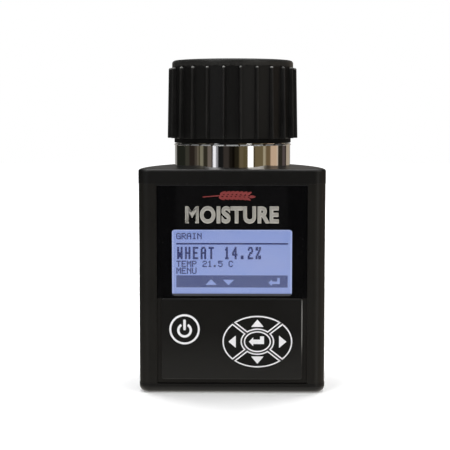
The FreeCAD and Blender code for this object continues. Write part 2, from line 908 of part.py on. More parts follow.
CHIPS = {
    # places and thicknesses of the packages on the main board: x, z, thickness
    "processor": (("-21", "-7"), ("62", "76"), "1.6"),
    "memory": (("4", "12"), ("66", "76"), "1.5"),
    "converter": (("-12", "-4"), ("90", "97"), "1.5"),
    "driver": (("18", "26"), ("80", "90"), "1.5"),
    "regulator": (("24", "30"), ("60", "67"), "1.8"),
    "crystal": (("-30", "-26"), ("64", "76"), "3.5"),
}
CANS = {
    # radius, height and place of each capacitor
    "supply_can": ("4", "8", ("-30", "30")),
    "filter_can": ("4", "8", ("-30", "42")),
    "small_can": ("2.5", "5.5", ("28", "50")),
}
BUZZER_PLACE = ("26", "28")
HEADERS = {
    "power_header": (("8", "18"), ("50", "56"), "6"),
    "ribbon_header": (("-7", "7"), ("84", "88"), "3"),
}


def components():
    keep("ic_chips", group("chips", *[on_board(name, *row) for name, row in CHIPS.items()]))
    cans = [
        rod(name, radius, "y", (BACK, f"{BACK} + {tall}"), at) for name, (radius, tall, at) in CANS.items()
    ]
    keep("capacitors", group("cans", *cans))
    shell = rod("buzzer_case", "6", "y", (BACK, f"{BACK} + 7"), BUZZER_PLACE)
    port = rod("buzzer_port", "1", "y", (f"{BACK} + 5", f"{BACK} + 8"), BUZZER_PLACE)
    keep("buzzer", cut("buzzer_made", shell, port))
    headers = [on_board(name, *row) for name, row in HEADERS.items()]
    under_board = ("sensor_board_z - 3.5", "sensor_board_z")
    under_cell = block("sensor_header", ("-7", "7"), ("-16", "-12"), under_board)
    keep("board_connectors", group("headers", *headers, under_cell))


# ---------------------------------------------------------------- sample cell

def sample_cell():
    cup = turned(
        "cell_cup",
        [
            ("bore_radius", "floor_z"),
            ("bore_radius", "rim_z - edge_break"),
            ("bore_radius + edge_break", "rim_z"),
            ("neck_radius - edge_break", "rim_z"),
            ("neck_radius", "rim_z - edge_break"),
            ("neck_radius", "ring_top"),
            ("ring_radius - edge_break", "ring_top"),
            ("ring_radius", "ring_top - edge_break"),
            ("ring_radius", "gasket_low"),
            ("flange_radius", "gasket_low"),
            ("flange_radius", "flange_low"),
            ("tube_radius", "flange_low"),
            ("tube_radius", "tube_low"),
            ("floor_radius", "tube_low"),
            ("floor_radius", "floor_z"),
        ],
    )
    ridge = [
        ("neck_radius - join", "neck_thread_z - thread_root / 2"),
        ("neck_radius", "neck_thread_z - thread_root / 2"),
        ("neck_radius + thread_depth", "neck_thread_z - thread_crest / 2"),
        ("neck_radius + thread_depth", "neck_thread_z + thread_crest / 2"),
        ("neck_radius", "neck_thread_z + thread_root / 2"),
        ("neck_radius - join", "neck_thread_z + thread_root / 2"),
    ]
    thread(cup, ridge, "neck_thread_rise")
    turned(
        "cell_gasket",
        [
            ("ring_radius", "gasket_low"),
            ("flange_radius", "gasket_low"),
            ("flange_radius", "body_top - cover_skin"),
            ("ring_radius", "body_top - cover_skin"),
        ],
    )
    turned(
        "centre_electrode",
        [
            ("0", "sensor_board_z - stud_below"),
            ("stud_radius", "sensor_board_z - stud_below"),
            ("stud_radius", "floor_z"),
            ("electrode_radius", "floor_z"),
            ("electrode_radius", "electrode_top - 1.5"),
            ("electrode_radius - 1.5", "electrode_top"),
            ("0", "electrode_top"),
        ],
    )
    plate = prism("clamp_outline", "clamp_inset", "clamp_low", "flange_low")
    through = ("clamp_low - 1", "flange_low + 1")
    hole = rod("clamp_hole", "tube_radius + tube_gap", "z", through, CELL_CENTRE)
    screw_holes = [
        rod(f"clamp_screw_hole_{i}", "clamp_hole", "z", through, at) for i, at in enumerate(CLAMP_POINTS)
    ]
    reliefs = channel_rods("clamp_relief", "channel_radius + relief_gap", *through)
    keep("cell_clamp", cut("clamp_made", plate, hole, *screw_holes, *reliefs))
    screws = []
    for i, at in enumerate(CLAMP_POINTS):
        head = rod(f"clamp_head_{i}", "clamp_head", "z", ("clamp_low - clamp_head_rise", "clamp_low"), at)
        shank_ends = ("clamp_low", "clamp_low + clamp_screw_length")
        shank = rod(f"clamp_shank_{i}", "clamp_screw", "z", shank_ends, at)
        screws.append(fuse(f"clamp_screw_{i}", head, shank))
    keep("clamp_screws", group("clamp_screw_set", *screws))


FLOOR_POINTS = [polar("floor_screw_place", angle) for angle in (90, 210, 330)]
PROBE_POINT = polar("probe_place", 0)


def cell_floor():
    """The insulating disc under the cell, with three bosses for the sensor board."""
    disc = rod("floor_disc", "floor_radius", "z", ("tube_low", "floor_z"), CELL_CENTRE)
    board_top = "sensor_board_z + board_skin"
    bosses = [
        rod(f"floor_boss_{i}", "floor_boss", "z", (board_top, "tube_low + join"), at)
        for i, at in enumerate(FLOOR_POINTS)
    ]
    through = ("tube_low - 1", "floor_z + 1")
    stud = rod("stud_hole", "stud_radius", "z", through, CELL_CENTRE)
    probe = rod("probe_hole", "probe_radius", "z", through, PROBE_POINT)
    deep = ("sensor_board_z", "tube_low")
    taps = [rod(f"floor_tap_{i}", "sensor_screw", "z", deep, at) for i, at in enumerate(FLOOR_POINTS)]
    keep("cell_floor", cut("floor_made", fuse("floor_solid", disc, *bosses), stud, probe, *taps))


def sensor():
    """The board under the cell's floor, its screws, the electrode's nut and the temperature probe."""
    board_top = "sensor_board_z + board_skin"
    through = ("sensor_board_z - 1", f"{board_top} + 1")
    board = rod("sensor_disc", "sensor_board_radius", "z", ("sensor_board_z", board_top), CELL_CENTRE)
    bores = [rod(f"sensor_bore_{i}", "sensor_hole", "z", through, at) for i, at in enumerate(FLOOR_POINTS)]
    middle = rod("sensor_centre", "stud_radius", "z", through, CELL_CENTRE)
    keep("sensor_board", cut("sensor_made", board, middle, *bores))

    screws = []
    for i, at in enumerate(FLOOR_POINTS):
        head_ends = ("sensor_board_z - sensor_head_rise", "sensor_board_z")
        head = rod(f"sensor_head_{i}", "sensor_head", "z", head_ends, at)
        shank_ends = ("sensor_board_z", "sensor_board_z + sensor_screw_length")
        shank = rod(f"sensor_shank_{i}", "sensor_screw", "z", shank_ends, at)
        screws.append(fuse(f"sensor_screw_{i}", head, shank))
    keep("sensor_screws", group("sensor_screw_set", *screws))

    nut = doc.addObject("Part::Prism", "nut_hexagon")
    nut.Polygon = 6
    bind(nut, Circumradius="2 * stud_radius", Height="nut_thick")
    bind(nut, Placement__Base__y="cell_y", Placement__Base__z="sensor_board_z - nut_thick")
    nut_hole = rod(
        "nut_hole", "stud_radius", "z", ("sensor_board_z - nut_thick - 1", "sensor_board_z + 1"), CELL_CENTRE
    )
    keep("electrode_nut", cut("nut_made", nut, nut_hole))

    body = rod("probe_body", "probe_radius", "z", (board_top, "floor_z + probe_rise"), PROBE_POINT)
    dome = doc.addObject("Part::Sphere", "probe_dome")
    bind(dome, Radius="probe_radius", Placement__Base__x=PROBE_POINT[0], Placement__Base__y=PROBE_POINT[1])
    bind(dome, Placement__Base__z="floor_z + probe_rise")
    keep("temperature_probe", fuse("probe_made", body, dome))


# ---------------------------------------------------------------- cap and pressure indicator

def cap_shell():
    inside_top = "cap_top - cap_skin"
    cap = turned(
        "cap_shell",
        [
            ("cap_bore", "cap_lip_z"),
            ("cap_lip_radius", "cap_lip_z"),
            ("cap_lip_radius", "rib_low"),
            ("cap_radius", "rib_low"),
            ("cap_radius", "cap_top"),
            ("guide_radius", "cap_top"),
            ("guide_radius", "washer_seat"),
            ("hub_bore", "washer_seat"),
            ("hub_bore", "hub_low + groove_top"),
            ("hub_bore + groove_depth", "hub_low + groove_top"),
            ("hub_bore + groove_depth", "hub_low + groove_low"),
            ("hub_bore", "hub_low + groove_low"),
            ("hub_bore", "hub_low"),
            ("hub_radius", "hub_low"),
            ("hub_radius", inside_top),
            ("cap_bore", inside_top),
        ],
    )
    top = size("cap_top")
    outside = size("cap_radius") - 0.01
    soften(cap, "cap_round", lambda b: abs(b.ZMin - top) < 1e-4 and b.XMax > outside)
    doc.recompute()
    profile = sketch_in(cap, "XZ_Plane", "-cell_y", "rib_profile")
    half_pitch = Rotation(Vector(0, 1, 0), size("180 / rib_count"))
    profile.AttachmentOffset = Placement(profile.AttachmentOffset.Base, half_pitch)
    polygon(
        profile,
        [
            ("cap_radius - join", "rib_low"),
            ("rib_radius_low", "rib_low"),
            ("rib_radius_top", "rib_top - edge_break"),
            ("rib_radius_top - edge_break", "rib_top"),
            ("cap_radius - join", "rib_top"),
        ],
    )
    rib = cap.newObject("PartDesign::Revolution", "rib")
    rib.Profile = profile
    rib.ReferenceAxis = (profile, ["V_Axis"])
    rib.Midplane = True
    bind(rib, Angle="rib_angle")
    doc.recompute()
    ribs = cap.newObject("PartDesign::PolarPattern", "ribs")
    ribs.Originals = [rib]
    ribs.Axis = (profile, ["V_Axis"])
    ribs.Angle = 360
    bind(ribs, Occurrences="rib_count")
    cap.Tip = ribs
    doc.recompute()
    start = "neck_thread_z + pitch / 2"
    ridge = [
        ("cap_bore + join", f"{start} - thread_root / 2"),
        ("cap_bore", f"{start} - thread_root / 2"),
        ("cap_bore - thread_depth", f"{start} - thread_crest / 2"),
        ("cap_bore - thread_depth", f"{start} + thread_crest / 2"),
        ("cap_bore", f"{start} + thread_root / 2"),
        ("cap_bore + join", f"{start} + thread_root / 2"),
    ]
    thread(cap, ridge, "cap_thread_rise")


def cap_mechanism():
    washer_top = "washer_seat - washer_play"
    washer_low = "washer_seat - washer_play - washer_skin"
    turned(
        "thrust_washer",
        [
            ("stem_rod + stem_play", washer_low),
            ("washer_radius", washer_low),
            ("washer_radius", washer_top),
            ("stem_rod + stem_play", washer_top),
        ],
    )
    ring = [
        ("spring_radius + ring_reach", "hub_low + groove_low + ring_play"),
        ("hub_bore + groove_depth - ring_play", "hub_low + groove_low + ring_play"),
        ("hub_bore + groove_depth - ring_play", "hub_low + groove_top - ring_play"),
        ("spring_radius + ring_reach", "hub_low + groove_top - ring_play"),
    ]
    turned("snap_ring", ring)
    turned(
        "pressure_spring",
        [
            ("spring_radius - spring_wire / 2", "plate_z + plate_skin"),
            ("spring_radius + spring_wire / 2", "plate_z + plate_skin"),
            ("spring_radius + spring_wire / 2", washer_low),
            ("spring_radius - spring_wire / 2", washer_low),
        ],
    )
    turned(
        "pressure_plate",
        [
            ("0", "plate_z"),
            ("plate_radius - 1", "plate_z"),
            ("plate_radius", "plate_z + 1"),
            ("plate_radius", "plate_z + plate_skin"),
            ("0", "plate_z + plate_skin"),
        ],
    )
    turned(
        "plate_stem",
        [
            ("0", "plate_z + plate_skin"),
            ("stem_rod", "plate_z + plate_skin"),
            ("stem_rod", "button_top - button_skin"),
            ("0", "button_top - button_skin"),
        ],
    )
    button = turned(
        "indicator_button",
        [
            ("stem_rod", "washer_seat"),
            ("button_radius", "washer_seat"),
            ("button_radius", "button_top"),
            ("0", "button_top"),
            ("0", "button_top - button_skin"),
            ("stem_rod", "button_top - button_skin"),
        ],
    )
    soften(button, "edge_break", flat_at("z", "button_top"))


# ---------------------------------------------------------------- battery bay

def battery_door():
    """A flat door with a round lower edge that turns on two short pins."""
    y, z = DOOR_AXIS
    half_skin = "door_skin / 2"
    thick = (f"{y} - {half_skin}", f"{y} + {half_skin}")
    leaf = block("door_leaf", ("-door_half", "door_half"), thick, (z, "door_top"))
    knuckle = rod("door_knuckle", half_skin, "x", ("-door_half", "door_half"), DOOR_AXIS)
    pin = rod("door_pin", "pin_radius", "x", either_side("door_half + pin_length"), DOOR_AXIS)
    grips = []
    for i in range(3):
        grip_top = f"door_top - grip_start - {i} * grip_pitch"
        depth = (f"{y} + {half_skin} - grip_depth", f"{y} + door_skin")
        height = (f"{grip_top} - grip_height", grip_top)
        grips.append(block(f"door_grip_{i}", either_side("grip_half"), depth, height))
    keep("battery_door", cut("door_made", fuse("door_solid", leaf, knuckle, pin), *grips))


PAD_Y = "tray_y + tray_skin"
BATTERY_Y = f"{PAD_Y} + pad_skin"
TERMINAL_Y = f"{BATTERY_Y} + battery_depth / 2"


def terminal_rods(name, extra):
    """A small plus terminal and a large minus terminal on the battery's top, or sockets for them."""
    ends = ("battery_top", "terminal_top")
    return [
        rod(f"plus_{name}", f"plus_radius + {extra}", "z", ends, ("terminal_x", TERMINAL_Y)),
        rod(f"minus_{name}", f"minus_radius + {extra}", "z", ends, ("-terminal_x", TERMINAL_Y)),
    ]


def battery_bay():
    inner_low, inner_top = "door_low - tray_drop", "door_top + tray_gap"
    outer = block(
        "tray_outer",
        either_side("door_half + tray_gap + tray_skin"),
        ("tray_y", "rear_y - wall"),
        (f"{inner_low} - tray_skin", f"{inner_top} + tray_skin"),
    )
    inner_x = either_side("door_half + tray_gap")
    inner = block("tray_inner", inner_x, (PAD_Y, "rear_y"), (inner_low, inner_top))
    notch_ends = ("battery_top", f"{inner_top} + 2 * tray_skin")
    notch = block("lead_notch", either_side("notch_half"), ("tray_y - 1", f"{PAD_Y} + 1"), notch_ends)
    keep("battery_tray", cut("tray_made", outer, inner, notch))
    pad = block("pad_slab", either_side("pad_half"), (PAD_Y, BATTERY_Y), ("pad_low", "pad_top"))
    keep("battery_pad", pad)
    case = block(
        "battery_case",
        ("-battery_half", "battery_half"),
        (BATTERY_Y, f"{BATTERY_Y} + battery_depth"),
        ("battery_low", "battery_top"),
    )
    keep("battery_9v", fillet("battery_rounded", case, "battery_corner", parallel_to_z))
    keep("battery_terminals", group("terminals", *terminal_rods("terminal", "0")))
    snap = block(
        "snap_slab",
        ("-snap_half", "snap_half"),
        (f"{TERMINAL_Y} - snap_depth", f"{TERMINAL_Y} + snap_depth"),
        ("battery_top + snap_low", "terminal_top + snap_top"),
    )
    keep("battery_snap", cut("snap_made", snap, *terminal_rods("socket", "socket_play")))


def route(points):
    """A path of straight runs joined by tangent arcs, each as large as its runs allow."""
    edges = []
    here = points[0]
    for before, corner, after in zip(points, points[1:], points[2:]):
        back = (before - corner).normalize()
        ahead = (after - corner).normalize()
        turn = math.pi - back.getAngle(ahead)
        shorter = min((corner - before).Length, (after - corner).Length)
        reach = 0.45 * shorter
        radius = reach / math.tan(turn / 2)
        start = corner + back * reach
        end = corner + ahead * reach
        inward = (back + ahead).normalize()
        middle = corner + inward * (radius / math.cos(turn / 2) - radius)
        edges.append(Part.LineSegment(here, start).toShape())
        edges.append(Part.Arc(start, middle, end).toShape())
        here = end
        print(f"bend of radius {radius:.1f} mm")
    edges.append(Part.LineSegment(here, points[-1]).toShape())
    return Part.Wire(edges)


def lead(label, points, radius):
    """A round wire along a route."""
    path = route(points)
    heading = points[1] - points[0]
    ring = Part.Wire([Part.Circle(points[0], heading, radius).toShape()])
    item = doc.addObject("Part::Feature", label + "_wire")
    item.Shape = path.makePipeShell([ring], True, True)
    expected = math.pi * radius**2 * path.Length
    assert abs(item.Shape.Volume / expected - 1) < 0.02, label
    keep(label, item)


LEADS = {
    # side on which each lead leaves the battery snap, and its place on the header
    "battery_lead_red": (1.8, 15.5),
    "battery_lead_black": (-1.8, 10.5),
}


def cables():
    snap_front = size(f"{TERMINAL_Y} - snap_depth")
    header_back = size(f"{BACK} + 6")
    exit_z = size("terminal_top + 0.4")
    header_z = 53.0
    for label, (side, header_x) in LEADS.items():
        points = [
            Vector(side, snap_front, exit_z),
            Vector(side, 12.0, exit_z),
            Vector(side + 1.5, 3.0, 57.0 + side),
            Vector((side + header_x) / 2, -7.0, 51.0 + side),
            Vector(header_x, -13.0, header_z),
            Vector(header_x, header_back, header_z),
        ]
        lead(label, points, size("lead_radius"))


def ribbon():
    """A flat cable from the sensor board, forward and down to the main board."""
    half_width, skin = 5.0, 0.5
    start_y, bend_y, header_z = -16.0, -19.5, 86.0
    top_z = size("sensor_board_z - 1.8")
    first = Vector(-half_width, start_y, top_z)
    path = route(
        [
            first,
            Vector(-half_width, bend_y, top_z),
            Vector(-half_width, bend_y, header_z),
            Vector(-half_width, size(f"{BACK} + 3"), header_z),
        ]
    )
    up = Vector(0, 0, skin / 2)
    across = Vector(2 * half_width, 0, 0)
    corners = [first - up, first - up + across, first + up + across, first + up]
    section = Part.makePolygon(corners + corners[:1])
    strip = doc.addObject("Part::Feature", "ribbon_strip")
    strip.Shape = path.makePipeShell([section], True, True)
    keep("sensor_ribbon", strip)


# ---------------------------------------------------------------- screws that close the shells

def shell_screws():
    top_screws = []
    base_screws = []
    for i, at in enumerate(CHANNELS):
        head = countersink(f"top_head_{i}", at, "body_top - screw_play", "0")
        shank_ends = ("top_screw_end", "body_top - shell_screw")
        shank = rod(f"top_shank_{i}", "shell_screw - shank_inset", "z", shank_ends, at)
        slots = cross_slots(f"top_slot_{i}", at, "body_top - slot_depth", "body_top + 1")
        top_screws.append(cut(f"top_screw_{i}", fuse(f"top_blank_{i}", head, shank), *slots))
        head_ends = ("head_recess - join", "shell_screw + head_recess")
        head = rod(f"base_head_{i}", "2 * shell_screw", "z", head_ends, at)
        shank_ends = ("shell_screw", "base_screw_end")
        shank = rod(f"base_shank_{i}", "shell_screw - shank_inset", "z", shank_ends, at)
        slots = cross_slots(f"base_slot_{i}", at, "0", "head_recess - join + slot_depth")
        base_screws.append(cut(f"base_screw_{i}", fuse(f"base_blank_{i}", head, shank), *slots))
    keep("top_screws", group("top_screw_set", *top_screws))
    keep("base_screws", group("base_screw_set", *base_screws))


def cross_slots(name, at, low, high):
    """Two crossed slots for a screwdriver."""
    x_long, y_long = ((f"{c} - slot_half", f"{c} + slot_half") for c in at)
    x_short, y_short = ((f"{c} - slot_width / 2", f"{c} + slot_width / 2") for c in at)
    across = block(name + "_a", x_long, y_short, (low, high))
    along = block(name + "_b", x_short, y_long, (low, high))
    return [across, along]


# ---------------------------------------------------------------- build, check and write

def write_parts():
    doc.recompute()
    failed = [item.Name for item in doc.Objects if {"Invalid", "Error"} & set(item.State)]
    if failed:
        raise SystemExit(f"objects that failed: {failed}")
    os.makedirs("parts", exist_ok=True)
    for label, item in sub_parts.items():
        shape = item.Shape
        if shape.isNull() or not shape.isValid() or not shape.Solids:
            raise SystemExit(f"{label} has no valid solid")
        shape.exportStep(f"parts/{label}.step")
        box = shape.BoundBox
        heights = f"z {box.ZMin:.2f}..{box.ZMax:.2f}"
        print(f"{label:20} {len(shape.Solids):3} solids {shape.Volume:10.1f} mm3 {heights}")


main_housing()
top_cover()
base_cover()
display_panel()
display_lens()
keypad_plate()
keys()
switch_housings()
display_module()
boards()
components()
sample_cell()
cell_floor()
sensor()
cap_shell()
cap_mechanism()
battery_door()
battery_bay()
cables()
ribbon()
shell_screws()
write_parts()
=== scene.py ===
"""Looks of the grain moisture meter: finishes, printed legends, display, cap, spring, studio and camera.

Metres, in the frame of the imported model: X to the right, Y to the back, Z up. The keypad faces -Y.
"""

import json
import math

import bmesh
import bpy
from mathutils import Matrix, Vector


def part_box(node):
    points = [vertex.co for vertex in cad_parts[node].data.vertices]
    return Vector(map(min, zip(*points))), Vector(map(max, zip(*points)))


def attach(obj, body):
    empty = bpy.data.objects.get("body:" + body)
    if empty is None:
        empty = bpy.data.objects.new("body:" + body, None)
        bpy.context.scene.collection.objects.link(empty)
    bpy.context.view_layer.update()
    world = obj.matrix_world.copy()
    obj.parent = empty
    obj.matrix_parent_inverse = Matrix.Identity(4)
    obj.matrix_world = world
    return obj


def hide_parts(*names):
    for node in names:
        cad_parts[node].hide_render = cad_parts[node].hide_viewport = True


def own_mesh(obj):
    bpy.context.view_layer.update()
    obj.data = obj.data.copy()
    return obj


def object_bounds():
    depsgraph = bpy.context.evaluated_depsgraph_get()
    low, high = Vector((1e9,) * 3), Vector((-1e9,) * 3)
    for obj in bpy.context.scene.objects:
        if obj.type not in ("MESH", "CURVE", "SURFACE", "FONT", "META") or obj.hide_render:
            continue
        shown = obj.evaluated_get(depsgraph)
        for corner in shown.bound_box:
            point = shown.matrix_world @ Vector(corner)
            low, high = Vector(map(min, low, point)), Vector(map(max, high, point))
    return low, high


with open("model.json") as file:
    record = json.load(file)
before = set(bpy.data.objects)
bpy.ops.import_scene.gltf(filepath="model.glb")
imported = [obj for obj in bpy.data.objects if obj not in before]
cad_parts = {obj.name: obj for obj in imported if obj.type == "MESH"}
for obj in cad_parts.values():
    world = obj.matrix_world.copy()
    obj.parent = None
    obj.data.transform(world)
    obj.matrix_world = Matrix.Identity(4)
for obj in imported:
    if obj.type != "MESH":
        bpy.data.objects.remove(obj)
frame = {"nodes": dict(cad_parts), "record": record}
cad_low, cad_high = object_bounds()
nodes = frame["nodes"]

MM = 0.001
TURN = 2 * math.pi
PRINT_SKIN = 0.03 * MM      # thickness of printed ink
FLAT = (1, 1, 1)
BLACK = (0.0042, 0.0041, 0.0040)
DOT = 0.48 * MM             # pitch of the display's dots

# the cap, as radii and heights: its barrel, its fins from foot to head, its rounded top edge, its bores
CAP_LOW, CAP_TOP = (corner.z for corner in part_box("cap_shell"))
CAP_AXIS_Y = sum(corner.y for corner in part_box("pressure_plate")) / 2
CAP_RADIUS = 34.8 * MM
CAP_ROUND = 1.8 * MM
FINS = 24
FIN_FOOT = 37.6 * MM
FIN_HEAD = 36.85 * MM
FIN_LOW = 140.3 * MM
FIN_TOP = 180.2 * MM
GUIDE = 9.0 * MM
BORE = 32.0 * MM

# ---------------------------------------------------------------- finishes


def add_node(tree, kind, inputs=None, **settings):
    """A shader node with its settings, each input given a value or joined to another node's output."""
    made = tree.nodes.new("ShaderNode" + kind)
    for name, value in settings.items():
        setattr(made, name, value)
    for key, value in (inputs or {}).items():
        if isinstance(value, bpy.types.NodeSocket):
            tree.links.new(value, made.inputs[key])
        else:
            made.inputs[key].default_value = value
    return made


class Look:
    """A material being built: one Principled shader and the nodes that feed it."""

    def __init__(self, name, colour, roughness, metallic=0.0, **sockets):
        self.material = bpy.data.materials.new(name)
        self.material.use_nodes = True
        self.tree = self.material.node_tree
        self.links = self.tree.links
        self.shader = self.tree.nodes["Principled BSDF"]
        self.base = (*colour, 1)
        self.roughness = roughness
        self.colour_out = self.rough_out = self.normal_out = None
        self.put("Base Color", self.base)
        self.put("Roughness", roughness)
        self.put("Metallic", metallic)
        for socket, value in sockets.items():
            self.put(socket.replace("_", " "), value)
        self.place = self.node("TexCoord").outputs["Object"]

    def put(self, socket, value):
        self.shader.inputs[socket].default_value = value

    def node(self, kind, inputs=None, **settings):
        return add_node(self.tree, kind, inputs, **settings)

    def stretched(self, stretch):
        return self.node("Mapping", {"Vector": self.place, "Scale": stretch}).outputs[0]

    def noise(self, scale, detail=3.0, stretch=FLAT):
        """Cloudy noise from 0 to 1; scale is in features per metre."""
        place = self.place if stretch == FLAT else self.stretched(stretch)
        return self.node("TexNoise", {"Vector": place, "Scale": scale, "Detail": detail}).outputs[0]

    def specks(self, scale, share):
        """Small round spots, one in each cell of 1 / scale, that fill about this share of it."""
        cells = self.node("TexVoronoi", {"Vector": self.place, "Scale": scale}).outputs["Distance"]
        return self.remap(cells, share, 0.6 * share, 0, 1)

    def remap(self, value, low, high, to_low, to_high):
        inputs = {"Value": value, "From Min": low, "From Max": high, "To Min": to_low, "To Max": to_high}
        return self.node("MapRange", inputs).outputs[0]

    def maths(self, operation, a, b):
        return self.node("Math", {0: a, 1: b}, operation=operation).outputs[0]

    def product(self, *masks):
        """The masks multiplied together."""
        result = masks[0]
        for mask in masks[1:]:
            result = self.maths("MULTIPLY", result, mask)
        return result

    def axis(self, letter):
        return self.node("SeparateXYZ", {0: self.place}).outputs[letter]

    def ramp(self, letter, start, end):
        """From 0 at one place along an axis to 1 at another."""
        return self.remap(self.axis(letter), start, end, 0, 1)

    def tint(self, mask, colour):
        """Paint a colour over the present one where the mask is 1."""
        under = self.colour_out or self.base
        mix = self.node("Mix", {0: mask, 6: under, 7: (*colour, 1)}, data_type="RGBA")
        self.colour_out = mix.outputs[2]
        self.links.new(self.colour_out, self.shader.inputs["Base Color"])
        return self

    def roughen(self, mask, value):
        """Take the roughness to a value where the mask is 1."""
        under = self.rough_out or self.roughness
        mix = self.node("Mix", {0: mask, 2: under, 3: value}, data_type="FLOAT")
        self.rough_out = mix.outputs[0]
        self.links.new(self.rough_out, self.shader.inputs["Roughness"])
        return self

    def raise_by(self, height, distance):
        """Bump the surface by a height map times a distance in metres."""
        inputs = {"Height": height, "Distance": distance}
        if self.normal_out:
            inputs["Normal"] = self.normal_out
        self.normal_out = self.node("Bump", inputs).outputs[0]
        self.links.new(self.normal_out, self.shader.inputs["Normal"])
        return self

    def soft_edges(self, radius, colour=None, roughness=None):
        """Round the shading of edges, and wear them to a colour and a roughness; the paler edge colour is
        partly wear and partly a painted highlight.
        """
        bevel = self.node("Bevel", {"Radius": radius}, samples=4).outputs[0]
        self.normal_out = bevel
        self.links.new(bevel, self.shader.inputs["Normal"])
        if colour is None:
            return self
        normal = self.node("NewGeometry").outputs["Normal"]
        agree = self.node("VectorMath", {0: bevel, 1: normal}, operation="DOT_PRODUCT").outputs["Value"]
        edge = self.remap(agree, 0.995, 0.9, 0, 1)
        # pale edges: partly wear, partly a painted highlight
        wear_and_highlight = self.product(edge, self.remap(self.noise(350, 4), 0.35, 0.65, 0.25, 0.9))
        return self.tint(wear_and_highlight, colour).roughen(wear_and_highlight, roughness)


def lighter(colour, times):
    """The colour times a factor, which may also darken it, and no more than full."""
    return tuple(min(1.0, part * times) for part in colour)


def moulded(name, colour, roughness, grain=2600, depth=0.010, edge=0.25, **sockets):
    """Spark-textured moulded plastic with uneven gloss and slightly polished edges, their paler colour partly
    wear and partly a painted highlight.
    """
    look = Look(name, colour, roughness, **sockets)
    look.soft_edges(edge * MM, lighter(colour, 2.2), roughness - 0.08)
    look.tint(look.remap(look.noise(45, 4), 0.35, 0.7, 0, 0.55), lighter(colour, 1.35))
    look.roughen(look.remap(look.noise(28, 3), 0.4, 0.7, 0, 0.5), roughness - 0.09)
    look.roughen(look.remap(look.noise(900, 2, (1, 1, 0.15)), 0.62, 0.75, 0, 0.35), roughness + 0.15)
    return look.raise_by(look.noise(grain, 4), depth * MM)


def metal(name, colour, roughness, brush=(1, 1, 14), depth=0.003, edge=0.15, tarnish=0.82):
    """Metal with fine tool lines along the directions that brush leaves small."""
    look = Look(name, colour, roughness, metallic=1.0)
    look.soft_edges(edge * MM, lighter(colour, 1.15), roughness * 0.8)
    lines = look.noise(900, 3, brush)
    look.roughen(look.remap(lines, 0.35, 0.7, 0, 0.6), min(1.0, roughness * 1.6))
    look.tint(look.remap(look.noise(120, 4), 0.5, 0.8, 0, 0.7), lighter(colour, tarnish))
    return look.raise_by(lines, depth * MM)


def body_finish():
    """The housing's moulding, with painted shade above the panel and a painted highlight line along the
    panel's head.
    """
    look = moulded("body_abs", (0.0068, 0.0063, 0.0053), 0.36, Specular_IOR_Level=0.27)
    side, _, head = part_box("display_panel")[1]
    off = look.maths("ABSOLUTE", look.axis("X"), 0)
    inside = look.remap(off, side + 0.3 * MM, side - 0.3 * MM, 0, 1)
    above = look.ramp("Z", head - 0.1 * MM, head + 0.1 * MM)
    # painted shade: darker above the panel's head
    look.tint(look.product(inside, above), (0.0022, 0.0022, 0.0023))
    # painted highlight: a pale line just above the panel's head, under that shade
    line = look.ramp("Z", head + 0.55 * MM, head + 0.5 * MM)
    return look.tint(look.product(inside, above, line), (0.011, 0.011, 0.012))


def cover_finish():
    """The upper shell's moulding, a little paler along its front top edge as a painted highlight."""
    look = moulded("cover_abs", BLACK, 0.36, Specular_IOR_Level=0.25)
    low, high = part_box("top_cover")
    top = look.ramp("Z", high.z - 1.5 * MM, high.z - 0.8 * MM)
    front = look.ramp("Y", low.y + 1.6 * MM, low.y + 0.9 * MM)
    # painted highlight along the front top edge
    return look.tint(look.product(top, front), (0.016, 0.0155, 0.015))


def cap_finish():
    """Near-black moulding, paler on its shoulder, with painted fill light on its fins, painted highlight dots
    at the fins' tops and painted shade on a dull lip.
    """
    look = moulded("cap_abs", BLACK, 0.42, 2200, 0.006, 0.1, Specular_IOR_Level=0.17)
    flat = look.node("VectorMath", {0: look.place, 1: (1, 1, 0)}, operation="MULTIPLY").outputs["Vector"]
    centre = (0, CAP_AXIS_Y, 0)
    reach = look.node("VectorMath", {0: flat, 1: centre}, operation="DISTANCE").outputs["Value"]
    # painted fill light on the fins, lifting their shaded flanks
    fins = look.remap(reach, CAP_RADIUS + 0.1 * MM, CAP_RADIUS + 0.3 * MM, 0, 1)
    uneven = look.remap(look.noise(70, 3), 0.3, 0.7, 0.4, 1)
    look.tint(look.product(fins, uneven), (0.0140, 0.0138, 0.0132))
    shoulder = look.ramp("Z", FIN_TOP + 0.3 * MM, FIN_TOP + 1.0 * MM)
    outer = look.remap(reach, CAP_RADIUS - 5.8 * MM, CAP_RADIUS - CAP_ROUND, 0, 1)
    look.tint(look.product(shoulder, outer), (0.0145, 0.0142, 0.0132))
    # painted highlight dots where the fins' tops catch the light, also made glossier
    crest = look.remap(reach, CAP_RADIUS + 0.3 * MM, CAP_RADIUS + 0.6 * MM, 0, 1)
    top = look.ramp("Z", FIN_TOP - 1.0 * MM, FIN_TOP - 0.5 * MM)
    fin_top_glints = look.product(crest, top, look.remap(look.noise(160, 3), 0.35, 0.6, 0.25, 1))
    look.tint(fin_top_glints, (0.26, 0.26, 0.25)).roughen(fin_top_glints, 0.2)
    # painted shade on the lip under the fins, which is also made dull
    lip = look.ramp("Z", FIN_LOW - 0.05 * MM, FIN_LOW - 0.3 * MM)
    return look.tint(lip, (0.0008, 0.0008, 0.0008)).roughen(lip, 0.8)


